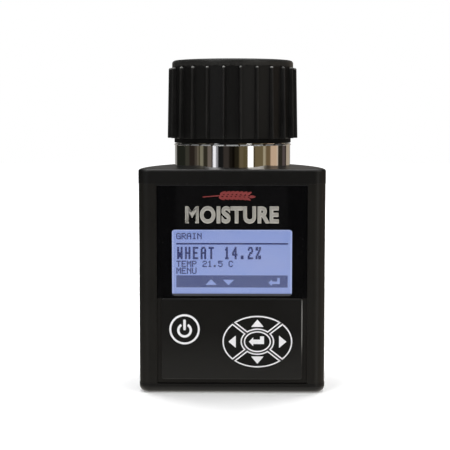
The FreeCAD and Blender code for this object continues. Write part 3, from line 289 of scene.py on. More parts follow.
def keypad_finish():
    """Fine-grained film: painted light from below makes it paler toward its foot; its right edge is pale,
    partly wear and partly a painted highlight; a painted highlight runs along its top edge.
    """
    right, _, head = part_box("keypad_plate")[1]
    look = moulded("keypad_film", (0.0036, 0.0035, 0.0033), 0.35, 3600, 0.007, Specular_IOR_Level=0.27)
    # painted light from below: paler toward the foot
    look.tint(look.ramp("Z", 35 * MM, 6 * MM), (0.016, 0.0157, 0.0148))
    edge = look.ramp("X", right - 0.55 * MM, right - 0.45 * MM)
    wear_and_highlight = look.remap(look.noise(110, 3, (1, 1, 0.3)), 0.45, 0.6, 0, 1)
    upper = look.remap(look.axis("Z"), 22 * MM, 30 * MM, 0.15, 1)
    # pale streak on the right edge: partly wear, partly a painted highlight
    look.tint(look.product(edge, wear_and_highlight, upper), (0.24, 0.24, 0.23))
    # painted highlight along the top edge
    top_edge_highlight = look.remap(look.axis("Z"), head - 0.55 * MM, head - 0.45 * MM, 0, 0.8)
    return look.tint(top_edge_highlight, (0.017, 0.017, 0.016))


def gloss_film():
    """Smooth printed film: deep black, a shade lighter in the middle as a painted reflection, faint orange
    peel, a little dust.
    """
    look = Look("panel_film", (0.0022, 0.0022, 0.0026), 0.13, Specular_IOR_Level=0.30)
    look.soft_edges(0.12 * MM, (0.02, 0.02, 0.022), 0.3)
    off = look.maths("ABSOLUTE", look.axis("X"), 0)
    # painted reflection: a shade lighter in the middle
    look.tint(look.remap(off, 31.5 * MM, 29.5 * MM, 0, 1), (0.0040, 0.0040, 0.0043))
    look.roughen(look.remap(look.noise(60, 4), 0.45, 0.75, 0, 0.5), 0.24)
    dust = look.product(look.specks(700, 0.16), look.remap(look.noise(110, 2), 0.55, 0.7, 0, 0.5))
    look.tint(dust, (0.05, 0.05, 0.052)).roughen(dust, 0.6)
    return look.raise_by(look.noise(260, 2), 0.0035 * MM)


def clear_plastic():
    """Clear acrylic with faint hairlines."""
    look = Look("window_acrylic", (0.97, 0.98, 1.0), 0.0, Transmission_Weight=1.0, IOR=1.33)
    lines = look.noise(420, 3, (1, 1, 0.04))
    return look.tint(look.remap(lines, 0.66, 0.76, 0, 0.5), (0.90, 0.92, 0.96))


def lit_display(window_low, window_high):
    """Lit cell: cool light, brighter to the foot and along the window's rim, with a faint dot grid."""
    look = Look("display_light", (0.03, 0.035, 0.06), 0.25, Emission_Strength=1.0)
    middle = (window_low + window_high) / 2
    half = (window_high - window_low) / 2
    rim = None
    for letter, index in (("X", 0), ("Z", 2)):
        off = look.maths("ABSOLUTE", look.maths("SUBTRACT", look.axis(letter), middle[index]), 0)
        near = look.remap(off, half[index] - 2.0 * MM, half[index] - 1.0 * MM, 0, 1)
        rim = near if rim is None else look.maths("MAXIMUM", rim, near)
    foot = look.ramp("Z", window_high.z, window_low.z)
    glow = look.noise(28, 2, (1, 1, 1.6))
    pitch = TURN / DOT
    grid = None
    for letter in "XZ":
        wave = look.maths("SINE", look.maths("MULTIPLY", look.axis(letter), pitch), 0)
        line = look.remap(wave, 0.8, 1.0, 0, 0.12)
        grid = line if grid is None else look.maths("MAXIMUM", grid, line)
    light = (0.158, 0.232, 0.525, 1)
    for mask, colour in (
        (foot, (0.220, 0.292, 0.575, 1)),
        (look.remap(glow, 0.35, 0.7, 0, 0.8), (0.225, 0.280, 0.535, 1)),
        (look.product(rim, 0.8), (0.390, 0.460, 0.740, 1)),
        (grid, (0.12, 0.15, 0.42, 1)),
    ):
        light = look.node("Mix", {0: mask, 6: light, 7: colour}, data_type="RGBA").outputs[2]
    look.links.new(light, look.shader.inputs["Emission Color"])
    return look


def ink(name, colour, roughness=0.45, glow=0.0, metallic=0.0):
    """Screen-printed ink, a little uneven in colour and gloss; or display dots, which glow."""
    paint = lighter(colour, 0.05) if glow else colour
    look = Look(name, paint, roughness, metallic=metallic)
    if glow:
        look.put("Emission Color", (*colour, 1))
        look.put("Emission Strength", glow)
    look.tint(look.remap(look.noise(900, 4), 0.4, 0.75, 0, 0.6), lighter(paint, 0.86))
    look.roughen(look.remap(look.noise(300, 3), 0.4, 0.7, 0, 0.6), min(1.0, roughness + 0.15))
    return look.raise_by(look.noise(2400, 3), 0.004 * MM)


def circuit_board(name):
    """Green solder mask with lighter traces and tinned pads, and black film on the keypad board's front."""
    look = Look(name, (0.012, 0.10, 0.035), 0.32)
    for turn, size_mm in ((0, 5.2), (math.pi / 2, 7.4)):
        turned = look.node("Mapping", {"Vector": look.place, "Rotation": (math.pi / 2, turn, 0)}).outputs[0]
        sizes = {"Scale": 1 / (size_mm * MM), "Mortar Size": 0.035, "Brick Width": 1.4, "Row Height": 0.35}
        brick = look.node("TexBrick", {"Vector": turned, **sizes}, offset=0.37, squash=0.8)
        look.tint(brick.outputs["Fac"], (0.035, 0.21, 0.075))
        look.raise_by(brick.outputs["Fac"], 0.02 * MM)
    pads = look.specks(330, 0.2)
    look.tint(pads, (0.55, 0.55, 0.52)).roughen(pads, 0.28)
    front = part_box("keypad_board")[0].y
    film = look.ramp("Y", front + 0.10 * MM, front + 0.05 * MM)
    look.tint(film, (0.004, 0.004, 0.004)).roughen(film, 0.6)
    return look.roughen(look.remap(look.noise(80, 3), 0.4, 0.7, 0, 0.5), 0.45)


def battery_case(low, high):
    """Printed steel jacket: dark wrap, a copper band above it, bare crimped rims."""
    look = Look("battery_jacket", (0.010, 0.014, 0.030), 0.28, metallic=0.25)
    length = high - low
    band = look.ramp("Z", low + 0.72 * length, low + 0.722 * length)
    look.tint(band, (0.50, 0.20, 0.06))
    line_low = look.ramp("Z", low + 0.69 * length, low + 0.692 * length)
    line_high = look.ramp("Z", low + 0.702 * length, low + 0.70 * length)
    look.tint(look.product(line_low, line_high), (0.7, 0.7, 0.68))
    for start, end in ((high - 1.4 * MM, high - 1.2 * MM), (low + 1.4 * MM, low + 1.2 * MM)):
        look.tint(look.ramp("Z", start, end), (0.45, 0.45, 0.44))
    look.roughen(look.remap(look.noise(500, 4, (1, 1, 0.2)), 0.5, 0.75, 0, 0.6), 0.5)
    return look.raise_by(look.noise(150, 3), 0.02 * MM)


def ribbon():
    """Flat cable: parallel wires under grey insulation, one edge marked red."""
    look = Look("ribbon_cable", (0.33, 0.34, 0.36), 0.5)
    across = look.axis("X")
    wave = look.maths("SINE", look.maths("MULTIPLY", across, TURN / (1.0 * MM)), 0)
    # painted shade in the grooves between the wires
    look.tint(look.remap(wave, -0.2, -1, 0, 0.8), (0.16, 0.165, 0.18))
    look.tint(look.ramp("X", -4.0 * MM, -4.05 * MM), (0.45, 0.03, 0.03))
    return look.raise_by(wave, 0.12 * MM)


def rubber(name, colour, roughness, depth=0.02):
    look = Look(name, colour, roughness)
    look.soft_edges(0.2 * MM)
    look.tint(look.remap(look.noise(200, 4), 0.4, 0.75, 0, 0.6), lighter(colour, 1.5))
    look.roughen(look.remap(look.noise(90, 3), 0.4, 0.7, 0, 0.6), min(1.0, roughness + 0.12))
    return look.raise_by(look.noise(1800, 4), depth * MM)


def foam():
    look = Look("foam_pad", (0.06, 0.06, 0.062), 0.95)
    holes = look.node("TexVoronoi", {"Vector": look.place, "Scale": 1400}).outputs["Distance"]
    # painted shade in the open pores
    look.tint(look.remap(holes, 0.35, 0.05, 0, 0.9), (0.012, 0.012, 0.012))
    return look.raise_by(holes, 0.3 * MM)


def chrome():
    """Bright plated cell, with the faintest turning lines and fingerprints."""
    look = Look("cell_chrome", (0.86, 0.855, 0.84), 0.045, metallic=1.0)
    look.soft_edges(0.2 * MM)
    look.roughen(look.remap(look.noise(70, 5), 0.52, 0.72, 0, 0.5), 0.14)
    look.tint(look.remap(look.noise(40, 3), 0.5, 0.8, 0, 0.5), (0.74, 0.73, 0.71))
    return look.raise_by(look.noise(500, 2, (0.05, 0.05, 3)), 0.0006 * MM)


window_low, window_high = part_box("display_lens")
battery_low, battery_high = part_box("battery_9v")
LOOKS = {
    "body_plastic": body_finish(),
    "cover_plastic": cover_finish(),
    "panel_skin": gloss_film(),
    "clear_lens": clear_plastic(),
    "keypad_skin": keypad_finish(),
    "key_skin": moulded("key_film", (0.0040, 0.0039, 0.0037), 0.35, 3600, 0.006, 0.12,
                        Specular_IOR_Level=0.27),
    "switch_plastic": moulded("switch_case", (0.03, 0.03, 0.032), 0.5),
    "plunger_plastic": moulded("switch_plunger", (0.30, 0.05, 0.035), 0.45, edge=0.15),
    "tinned_steel": metal("tinned_sheet", (0.62, 0.62, 0.60), 0.30, (1, 1, 6)),
    "lcd_cell": lit_display(window_low, window_high),
    "backlight_white": moulded("backlight_guide", (0.72, 0.74, 0.78), 0.35),
    "board_green": circuit_board("solder_mask"),
    "chip_black": moulded("chip_epoxy", (0.018, 0.018, 0.02), 0.55, grain=4200, edge=0.1),
    "can_aluminium": metal("drawn_can", (0.74, 0.75, 0.77), 0.26, (6, 1, 6)),
    "buzzer_black": moulded("buzzer_shell", (0.014, 0.014, 0.014), 0.4),
    "connector_white": moulded("connector_nylon", (0.70, 0.67, 0.58), 0.42, edge=0.12),
    "brass_stud": metal("turned_brass", (0.72, 0.52, 0.24), 0.22, (1, 1, 10)),
    "chrome_cell": chrome(),
    "gasket_rubber": rubber("gasket", (0.014, 0.014, 0.014), 0.75),
    "insulator": moulded("cell_insulator", (0.62, 0.60, 0.53), 0.38),
    "zinc_steel": metal("zinc_plate", (0.56, 0.57, 0.58), 0.33, (5, 5, 1)),
    "black_screw": metal("blackened_steel", (0.035, 0.035, 0.037), 0.38, (5, 5, 1), tarnish=1.6),
    "ribbon_grey": ribbon(),
    "wire_red": rubber("red_sleeve", (0.42, 0.02, 0.018), 0.38, 0.004),
    "wire_black": rubber("black_sleeve", (0.012, 0.012, 0.012), 0.38, 0.004),
    "battery_wrap": battery_case(battery_low.z, battery_high.z),
    "foam_grey": foam(),
    "tray_plastic": moulded("tray_abs", (0.022, 0.022, 0.022), 0.5),
    "cap_plastic": cap_finish(),
    "nylon_white": moulded("turned_nylon", (0.74, 0.72, 0.64), 0.4, grain=1200),
    "spring_steel": metal("spring_wire", (0.50, 0.50, 0.50), 0.28, (4, 4, 1)),
    "plate_steel": metal("turned_steel", (0.66, 0.66, 0.65), 0.24, (1, 1, 12)),
    "button_red": moulded("indicator_red", (0.40, 0.012, 0.012), 0.3, depth=0.003),
}
WHITE_INK = ink("ink_white", (0.88, 0.88, 0.90))
SILVER_INK = ink("ink_silver", (0.315, 0.305, 0.275), 0.42)
PALE_INK = ink("ink_pale", (0.52, 0.50, 0.45), 0.42)
# the sill's grey is a painted highlight of the window's lit lower edge
SILL_HIGHLIGHT = moulded("sill_painted_highlight", (0.042, 0.043, 0.050), 0.4, edge=0.05)
RED_INK = ink("ink_red", (0.21, 0.022, 0.021))
DARK_DOT = ink("dots_dark", (0.001, 0.009, 0.105), 0.3, glow=1.0)
BAR_DOT = ink("dots_bar", (0.030, 0.047, 0.162), 0.3, glow=1.0)

slot_of = {row["node"]: row["material_slot"] for row in frame["record"]["subparts"]}
for name, item in nodes.items():
    item.material_slots[0].material = LOOKS[slot_of[name]].material

# ---------------------------------------------------------------- making meshes


def piece(name, mesh, look, body, smooth=None):
    """Make a piece from a bmesh: its finish, the body that it rides on, and its shading."""
    bmesh.ops.recalc_face_normals(mesh, faces=mesh.faces)
    data = bpy.data.meshes.new(name)
    mesh.to_mesh(data)
    mesh.free()
    item = bpy.data.objects.new(name, data)
    bpy.context.scene.collection.objects.link(item)
    data.materials.append(look.material)
    if smooth is not None:
        data.polygons.foreach_set("use_smooth", [True] * len(data.polygons))
        data.set_sharp_from_angle(angle=math.radians(smooth))
    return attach(item, body)


def steps(start, end, count):
    """Count + 1 even values from start to end."""
    return [start + (end - start) * i / count for i in range(count + 1)]


def turned_grid(mesh, rows, closed):
    """Join rows of points, each a full ring, and the last row to the first if closed."""
    rings = [[mesh.verts.new(point) for point in row] for row in rows]
    count, columns = len(rings), len(rings[0])
    for i in range(count if closed else count - 1):
        low, high = rings[i], rings[(i + 1) % count]
        for j in range(columns):
            k = (j + 1) % columns
            mesh.faces.new((low[j], low[k], high[k], high[j]))
    return rings


def closed_bar(mesh, rows):
    """Join rows of points, and close the first row and the last with a face."""
    rings = turned_grid(mesh, rows, False)
    mesh.faces.new(rings[0])
    mesh.faces.new(rings[-1])


def tube(mesh, path, radius, sides=16):
    """A round bar along a path of points, capped at both ends."""
    rows = []
    side = None
    for i, point in enumerate(path):
        ahead = (path[min(i + 1, len(path) - 1)] - path[max(i - 1, 0)]).normalized()
        side = ahead.orthogonal() if side is None else side - ahead * side.dot(ahead)
        side.normalize()
        up = ahead.cross(side)
        rows.append(
            [point + radius * (math.cos(a) * side + math.sin(a) * up) for a in steps(0, TURN, sides)[:-1]]
        )
    closed_bar(mesh, rows)


def plate(mesh, loop, y, skin=PRINT_SKIN):
    """A thin closed plate in front of the plane at y, its outline a loop of (x, z) points."""
    closed_bar(mesh, [[(x, at, z) for x, z in loop] for at in (y - skin, y)])


def stroke(mesh, outer, inner, y, skin=PRINT_SKIN):
    """A thin closed band in front of the plane at y, between two loops of as many points."""
    corners = ((outer, y), (outer, y - skin), (inner, y - skin), (inner, y))
    turned_grid(mesh, [[(x, at, z) for x, z in loop] for loop, at in corners], True)


def ellipse(centre, wide, tall, start=0.0, end=TURN, count=96):
    """Points along an ellipse; a whole one leaves out the repeated last point."""
    x, z = centre
    points = [(x + wide * math.cos(a), z + tall * math.sin(a)) for a in steps(start, end, count)]
    return points[:-1] if abs(end - start - TURN) < 1e-9 else points


def inset(loop, distance):
    """The loop moved in by a distance, for a loop that runs anticlockwise."""
    moved = []
    for before, here, after in zip(loop[-1:] + loop[:-1], loop, loop[1:] + loop[:1]):
        here = Vector(here)
        into = (here - Vector(before)).normalized()
        out = (Vector(after) - here).normalized()
        corner = Vector((-into.y - out.y, into.x + out.x)).normalized()
        share = max(0.3, corner.dot(Vector((-into.y, into.x))))
        moved.append(tuple(here + corner * distance / share))
    return moved


def round_corners(loop, radius, count=5):
    """A loop of straight edges with each corner turned into a short curve."""
    points = []
    for before, here, after in zip(loop[-1:] + loop[:-1], loop, loop[1:] + loop[:1]):
        here = Vector(here)
        start = here + (Vector(before) - here).normalized() * radius
        end = here + (Vector(after) - here).normalized() * radius
        for t in steps(0, 1, count):
            points.append(tuple((1 - t) ** 2 * start + 2 * t * (1 - t) * here + t * t * end))
    return points


# ---------------------------------------------------------------- cap


def about_axis(radius, angle, z):
    """A point at a radius and an angle about the cap's axis."""
    return (radius * math.cos(angle), CAP_AXIS_Y + radius * math.sin(angle), z)


def cap_columns():
    """Round the cap: an angle, the share of a fin's height there, and the share lost to a flat facet."""
    fin = [(0.0, 1.0), (0.3, 0.99), (0.55, 0.95), (0.75, 0.87), (0.9, 0.72), (0.98, 0.4), (1.08, 0.1)]
    barrel = [(1.25, 0), (2.6, 0), (4.2, 0), (5.9, 0)]
    half = [(math.radians(off), share) for off, share in fin + barrel]
    section = [(-off, share) for off, share in half[:0:-1]] + half + [(math.pi / FINS, 0)]
    columns = []
    for i in range(FINS):
        for off, share in section:
            from_middle = math.pi / FINS - abs(off)
            flat = 1 - math.cos(math.pi / FINS) / math.cos(from_middle)
            columns.append((TURN * (i + 0.5) / FINS + off, share, flat))
    return columns


def cap_rows():
    """The cap's closed section: radius, z, the fins' height above that radius, and 1 for flat facets."""
    lip = 33.6 * MM
    foot_round = 0.35 * MM
    top_round = 0.9 * MM
    bevel = 0.3 * MM
    step_bevel = 0.25 * MM
    rows = [(BORE + bevel, CAP_LOW, 0, 0), (lip - bevel, CAP_LOW, 0, 0), (lip, CAP_LOW + bevel, 0, 0)]
    rows += [(lip, FIN_LOW - step_bevel, 0, 0), (lip + step_bevel, FIN_LOW, 0, 0)]
    rise_foot = FIN_FOOT - CAP_RADIUS
    rise_head = FIN_HEAD - CAP_RADIUS
    for a in steps(0, math.pi / 2, 4):
        back = foot_round * (1 - math.sin(a))
        rows.append((CAP_RADIUS - back, FIN_LOW + foot_round * (1 - math.cos(a)), rise_foot, 1))
    shoulder = FIN_TOP - top_round
    for t in steps(0, 1, 9)[1:]:
        z = FIN_LOW + foot_round + t * (shoulder - FIN_LOW - foot_round)
        rows.append((CAP_RADIUS, z, rise_foot + t * (rise_head - rise_foot), 1))
    for a in steps(0, math.pi / 2, 6)[1:]:
        rise = rise_head - top_round * (1 - math.cos(a))
        rows.append((CAP_RADIUS, shoulder + top_round * math.sin(a), rise, 1))
    rows += [(CAP_RADIUS, FIN_TOP, 0, 1), (CAP_RADIUS, FIN_TOP + step_bevel, 0, 0)]
    for a in steps(0, math.pi / 2, 9):
        radius = CAP_RADIUS - CAP_ROUND * (1 - math.cos(a))
        rows.append((radius, CAP_TOP - CAP_ROUND * (1 - math.sin(a)), 0, 0))
    rows += [(radius * MM, CAP_TOP, 0, 0) for radius in (27, 22, 17, 13)]
    bore_round = 0.5 * MM
    for a in steps(0, math.pi / 2, 3):
        radius = GUIDE + bore_round * (1 - math.sin(a))
        rows.append((radius, CAP_TOP - bore_round * (1 - math.cos(a)), 0, 0))
    # the inside, as radius and z in mm: the guide, the snap ring's groove, the roof and the outer wall
    inner = [
        (9.0, 174.3), (14.9, 174.3), (14.9, 172.3), (15.6, 172.3), (15.6, 170.9), (14.9, 170.9),
        (14.9, 169.5), (17.0, 169.5), (17.0, 179.4), (17.6, 180.0), (31.4, 180.0), (32.0, 179.4),
        (32.0, 168.0), (32.0, 156.0), (32.0, 145.0), (32.0, 137.9),
    ]
    return rows + [(radius * MM, z * MM, 0, 0) for radius, z in inner]


def helix_ridge(mesh, corners, start_z, rise, pitch):
    """A thread: corners are (radius, height) about the helix, given anticlockwise."""
    count = int(90 * rise / pitch)
    rows = []
    for t in steps(0, 1, count):
        angle = TURN * t * rise / pitch
        rows.append([about_axis(radius, angle, start_z + rise * t + z) for radius, z in corners])
    closed_bar(mesh, rows)


def cap():
    """The finned cap with the thread inside its skirt."""
    columns = cap_columns()
    mesh = bmesh.new()
    rows = [
        [about_axis(radius * (1 - flat * facet) + rise * share, angle, z) for angle, share, facet in columns]
        for radius, z, rise, flat in cap_rows()
    ]
    turned_grid(mesh, rows, True)
    tooth = [(0.3, -1.1), (0.0, -1.1), (-1.0, -0.6), (-1.0, 0.6), (0.0, 1.1), (0.3, 1.1)]
    corners = [(BORE + r * MM, z * MM) for r, z in tooth]
    start_z, rise, pitch = 147.0 * MM, 9.0 * MM, 5.0 * MM
    helix_ridge(mesh, corners, start_z, rise, pitch)
    item = piece("ribbed_cap", mesh, LOOKS["cap_plastic"], "cap", smooth=42)
    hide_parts("cap_shell")


def cell_bead():
    """The bevelled bead round the head of the sample cell's ring."""
    # its section, as radius and z in mm
    profile = [(33.1, 136.25), (33.70, 136.3), (33.76, 136.4), (33.36, 137.1), (33.1, 137.15)]
    angles = [math.radians(2 * i) for i in range(180)]
    mesh = bmesh.new()
    rows = [[about_axis(r * MM, angle, z * MM) for angle in angles] for r, z in profile]
    turned_grid(mesh, rows, True)
    piece("cell_bead", mesh, LOOKS["chrome_cell"], "meter", smooth=25)


def spring():
    """A wound spring with one closed turn at each end."""
    low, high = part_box("pressure_spring")
    wire = 0.9 * MM
    radius = high.x - wire
    dead, live = 1.0, 4.0
    climb_dead = 2 * wire
    climb_live = high.z - low.z - 2 * wire - 2 * dead * climb_dead
    turns = 2 * dead + live
    path = []
    for t in steps(0, turns, int(48 * turns)):
        lower = min(t, dead) * climb_dead
        middle = min(max(t - dead, 0), live) / live * climb_live
        upper = max(t - dead - live, 0) * climb_dead
        path.append(Vector(about_axis(radius, TURN * t, low.z + wire + lower + middle + upper)))
    mesh = bmesh.new()
    tube(mesh, path, wire, 14)
    item = piece("coil_spring", mesh, LOOKS["spring_steel"], "cap_carrier", smooth=60)
    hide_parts("pressure_spring")
    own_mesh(item)


# ---------------------------------------------------------------- legends on the keys

INK_WIDE = 0.72 * MM
KEY_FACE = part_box("key_enter")[0].y     # the keys' fronts lie in one plane


def centre_of(name):
    low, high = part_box(name)
    return ((low.x + high.x) / 2, (low.z + high.z) / 2)


def enter_arrow(centre):
    """The outline of a return arrow that points left."""
    x, z = centre
    foot, head, back, riser = -1.32, 1.19, -2.3, 1.47
    points = [(-4.7, 0), (back, -2.48), (back, foot), (3.65, foot), (3.65, 3.03), (riser, 3.03),
              (riser, head), (back, head), (back, 2.48)]
    return [(x + px * MM, z + pz * MM) for px, pz in points]


def arrow_head(centre, out, base, tip, half):
    """A triangle that points away from the centre along the direction out."""
    x, z = centre
    ox, oz = out
    corners = [(base, -half), (tip, 0), (base, half)]
    return [(x + ox * a - oz * b, z + oz * a + ox * b) for a, b in corners]


def sector(centre, out):
    """The border of the arrow key that lies along the direction out, anticlockwise."""
    outer = (19.24 * MM, 14.41 * MM)
    inner = (8.56 * MM, 6.64 * MM)
    gap = 0.48 * MM
    ray = math.radians(38.0)
    first, last = (ray, math.pi - ray) if out[0] == 0 else (-ray, ray)
    ends = []
    for wide, tall in (outer, inner):
        edge = []
        for angle, side in ((first, 1), (last, -1)):
            c, s = math.cos(angle), math.sin(angle)
            reach = 1 / math.hypot(c / wide, s / tall)
            x = reach * c - side * gap * s
            z = reach * s + side * gap * c
            edge.append(math.atan2(z / tall, x / wide))
        if edge[1] < edge[0]:
            edge[1] += TURN
        ends.append(edge)
    loop = ellipse((0, 0), *outer, *ends[0], count=40) + ellipse((0, 0), *inner, *ends[1][::-1], count=24)
    sign = sum(out)
    return [(centre[0] + sign * x, centre[1] + sign * z) for x, z in loop]


def arrow_legends():
    """On each arrow key, its border and an arrow head."""
    nav = centre_of("key_enter")
    half_head = 3.45 * MM
    # the direction of each, and how far from the centre its arrow's base and tip are, in mm
    arrows = {
        "up": ((0, 1), 8.25, 12.4),
        "down": ((0, -1), 8.25, 12.4),
        "left": ((-1, 0), 11.9, 16.0),
        "right": ((1, 0), 11.9, 16.0),
    }
    for name, (out, base, tip) in arrows.items():
        mesh = bmesh.new()
        border = sector(nav, out)
        stroke(mesh, border, inset(border, INK_WIDE), KEY_FACE)
        head = arrow_head(nav, out, base * MM, tip * MM, half_head)
        plate(mesh, round_corners(head, 0.35 * MM), KEY_FACE)
        piece(f"legend_{name}", mesh, WHITE_INK, f"key_{name}")


def enter_legend():
    """An oval ring with a return arrow in it."""
    nav = centre_of("key_enter")
    wide, tall = 7.46 * MM, 5.83 * MM
    mesh = bmesh.new()
    stroke(mesh, ellipse(nav, wide, tall), ellipse(nav, wide - INK_WIDE, tall - INK_WIDE), KEY_FACE)
    plate(mesh, round_corners(enter_arrow(nav), 0.2 * MM), KEY_FACE)
    piece("legend_enter", mesh, WHITE_INK, "key_enter")


def power_legend():
    """A ring round the usual power sign: an open ring with an upright bar."""
    power = centre_of("key_power")
    ring_outer, ring_inner = 8.4 * MM, 7.3 * MM
    sign_outer, sign_inner = 4.1 * MM, 2.75 * MM
    sign_drop = 0.5 * MM
    bar_half, bar_high = 0.72 * MM, 5.5 * MM
    mesh = bmesh.new()
    stroke(mesh, ellipse(power, ring_outer, ring_outer), ellipse(power, ring_inner, ring_inner), KEY_FACE)
    x, z = power
    low = (x, z - sign_drop)
    gap = math.radians(31)
    start, end = math.pi / 2 + gap, math.pi / 2 - gap + TURN
    sign = ellipse(low, sign_outer, sign_outer, start, end, 60)
    sign += ellipse(low, sign_inner, sign_inner, end, start, 60)
    plate(mesh, sign, KEY_FACE)
    upright = [(x - bar_half, z - sign_drop), (x + bar_half, z - sign_drop),
               (x + bar_half, z + bar_high), (x - bar_half, z + bar_high)]
    plate(mesh, round_corners(upright, 0.6 * MM), KEY_FACE)
    piece("legend_power", mesh, WHITE_INK, "key_power")


# ---------------------------------------------------------------- display

GLYPHS = {
    "A": "01110 10001 10001 11111 10001 10001 10001",
    "C": "01110 10001 10000 10000 10000 10001 01110",
    "E": "11111 10000 10000 11110 10000 10000 11111",
    "G": "01110 10001 10000 10111 10001 10001 01111",
    "H": "10001 10001 10001 11111 10001 10001 10001",
    "I": "01110 00100 00100 00100 00100 00100 01110",
    "M": "10001 11011 10101 10101 10001 10001 10001",
    "N": "10001 11001 10101 10011 10001 10001 10001",
    "P": "11110 10001 10001 11110 10000 10000 10000",
    "R": "11110 10001 10001 11110 10100 10010 10001",
    "T": "11111 00100 00100 00100 00100 00100 00100",
    "U": "10001 10001 10001 10001 10001 10001 01110",
    "W": "10001 10001 10001 10101 10101 11011 10001",
    "1": "00100 01100 00100 00100 00100 00100 01110",
    "2": "01110 10001 00001 00110 01000 10000 11111",
    "4": "00010 00110 01010 10010 11111 00010 00010",
    "5": "11111 10000 11110 00001 00001 10001 01110",
    ".": "00000 00000 00000 00000 00000 01100 01100",
    "%": "11001 11001 00010 00100 01000 10011 10011",
    " ": "00000 00000 00000 00000 00000 00000 00000",
}
COLUMNS, ROWS = 128, 64
DOT_GAP = 0.01 * MM
DOT_SPREAD = 0.15 * MM      # how far a dark dot runs into its neighbours


def written(text, column, row, pitch=6, tall=1, bold=False):
    """The dots of a line of text as a set of (column, row), rows counted down from the top."""
    dots = set()
    for place, letter in enumerate(text):
        for r, line in enumerate(GLYPHS[letter].split()):
            for c, mark in enumerate(line):
                if mark == "1":
                    for down in range(tall):
                        for right in range(2 if bold else 1):
                            dots.add((column + place * pitch + c + right, row + r * tall + down))
    return dots


def menu_bar():
    """The dots of the bar along the foot, with two arrows and a return arrow left light."""
    bar = {(c, r) for c in range(COLUMNS) for r in range(50, ROWS)}
    for i in range(6):
        bar -= {(c, 55 + i) for c in range(39 - i, 41 + i)}
        bar -= {(c, 55 + i) for c in range(54 + i, 66 - i)}
    for i in range(4):
        bar -= {(106 + i, r) for r in range(58 - i, 59 + i)}
    bar -= {(c, r) for c in range(110, 118) for r in (57, 58, 59)}
    bar -= {(c, r) for c in range(116, 119) for r in range(53, 60)}
    return bar


def display():
    """The display's dots: the lines of text with a rule, and the dark bar along the foot."""
    glass_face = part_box("lcd_glass")[0].y
    window_middle = (window_low.z + window_high.z) / 2
    left = -COLUMNS * DOT / 2
    top = window_middle + 1.4 * MM + ROWS * DOT / 2
    rule = {(c, r) for c in range(COLUMNS) for r in (12.5, 13.1)}       # a dot and a half thick
    text = written("GRAIN", 0, 1) | rule
    text |= written("WHEAT 14.2%", 1, 17, pitch=9, tall=2, bold=True)
    text |= written("TEMP 21.5 C", 0, 33) | written("MENU", 0, 41)
    layers = (
        ("display_text", text, DARK_DOT, -DOT_SPREAD),
        ("display_menu_bar", menu_bar(), BAR_DOT, DOT_GAP),
    )
    for name, dots, look, gap in layers:
        mesh = bmesh.new()
        for column, row in sorted(dots):
            x = left + column * DOT
            z = top - row * DOT
            right, low = x + DOT - gap, z - DOT + gap
            square = [(x, low), (right, low), (right, z), (x, z)]
            plate(mesh, square, glass_face, 0.02 * MM)
        piece(name, mesh, look, "meter")


# ---------------------------------------------------------------- prints on the panel


def text_mesh(text, weight, wide, tall, foot, y, skin):
    """A thin raised word of a weight, its letters between the same lines whatever that weight."""
    curve = bpy.data.curves.new("panel_word", "FONT")
    curve.body = text
    curve.align_x = "CENTER"
    curve.space_character = 1.1
    curve.offset = weight
    source = bpy.data.objects.new("panel_word_source", curve)
    bpy.context.scene.collection.objects.link(source)
    data = bpy.data.meshes.new_from_object(source.evaluated_get(bpy.context.evaluated_depsgraph_get()))
    bpy.data.objects.remove(source)
    xs = [v.co.x for v in data.vertices]
    zs = [v.co.y for v in data.vertices]
    scale_x = wide / (max(xs) - min(xs))
    scale_z = tall / (max(zs) - min(zs))
    middle = (max(xs) + min(xs)) / 2
    mesh = bmesh.new()
    mesh.from_mesh(data)
    for vertex in mesh.verts:
        x, z, _ = vertex.co
        vertex.co = ((x - middle) * scale_x, y, foot + (z - min(zs)) * scale_z)
    bmesh.ops.remove_doubles(mesh, verts=mesh.verts, dist=0.01 * MM)
    made = bmesh.ops.extrude_face_region(mesh, geom=list(mesh.faces))["geom"]
    front = [item for item in made if isinstance(item, bmesh.types.BMVert)]
    bmesh.ops.translate(mesh, verts=front, vec=(0, -skin, 0))
    return mesh


def word_on_panel():
    """A plain descriptive word above the window: a silver fill with a lighter rim."""
    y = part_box("display_panel")[0].y
    rim = 0.35 * MM
    wide, tall, foot = 51.2 * MM, 9.5 * MM, 94.3 * MM
    outer = text_mesh("MOISTURE", 0.050, wide, tall, foot, y, PRINT_SKIN)
    piece("panel_word_rim", outer, PALE_INK, "meter")
    inner = text_mesh("MOISTURE", 0.026, wide - 2 * rim, tall - 2 * rim, foot + rim, y, 1.6 * PRINT_SKIN)
    piece("panel_word", inner, SILVER_INK, "meter")


def window_sill():
    """A small sloped ledge along the foot of the window, grey as a painted highlight on the lit edge."""
    front, back = (corner.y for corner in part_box("display_panel"))
    foot, rise = 54.3 * MM, 1.15 * MM
    half_wide = 32.6 * MM
    section = [(back, foot), (front, foot), (back, foot + rise)]
    mesh = bmesh.new()
    closed_bar(mesh, [[(x, y, z) for y, z in section] for x in (-half_wide, half_wide)])
    piece("window_sill", mesh, SILL_HIGHLIGHT, "meter")


def leaf_loop(centre, angle, length, width):
    """A pointed oval, as a grain of wheat, with its long axis at an angle."""
    points = []
    for a in steps(0, TURN, 20)[:-1]:
        along = math.cos(a) * length / 2
        across = math.sin(a) * (1 - 0.35 * math.cos(a)) * width / 2
        points.append(
            (
                centre[0] + along * math.cos(angle) - across * math.sin(angle),
                centre[1] + along * math.sin(angle) + across * math.cos(angle),
            )
        )
    return points


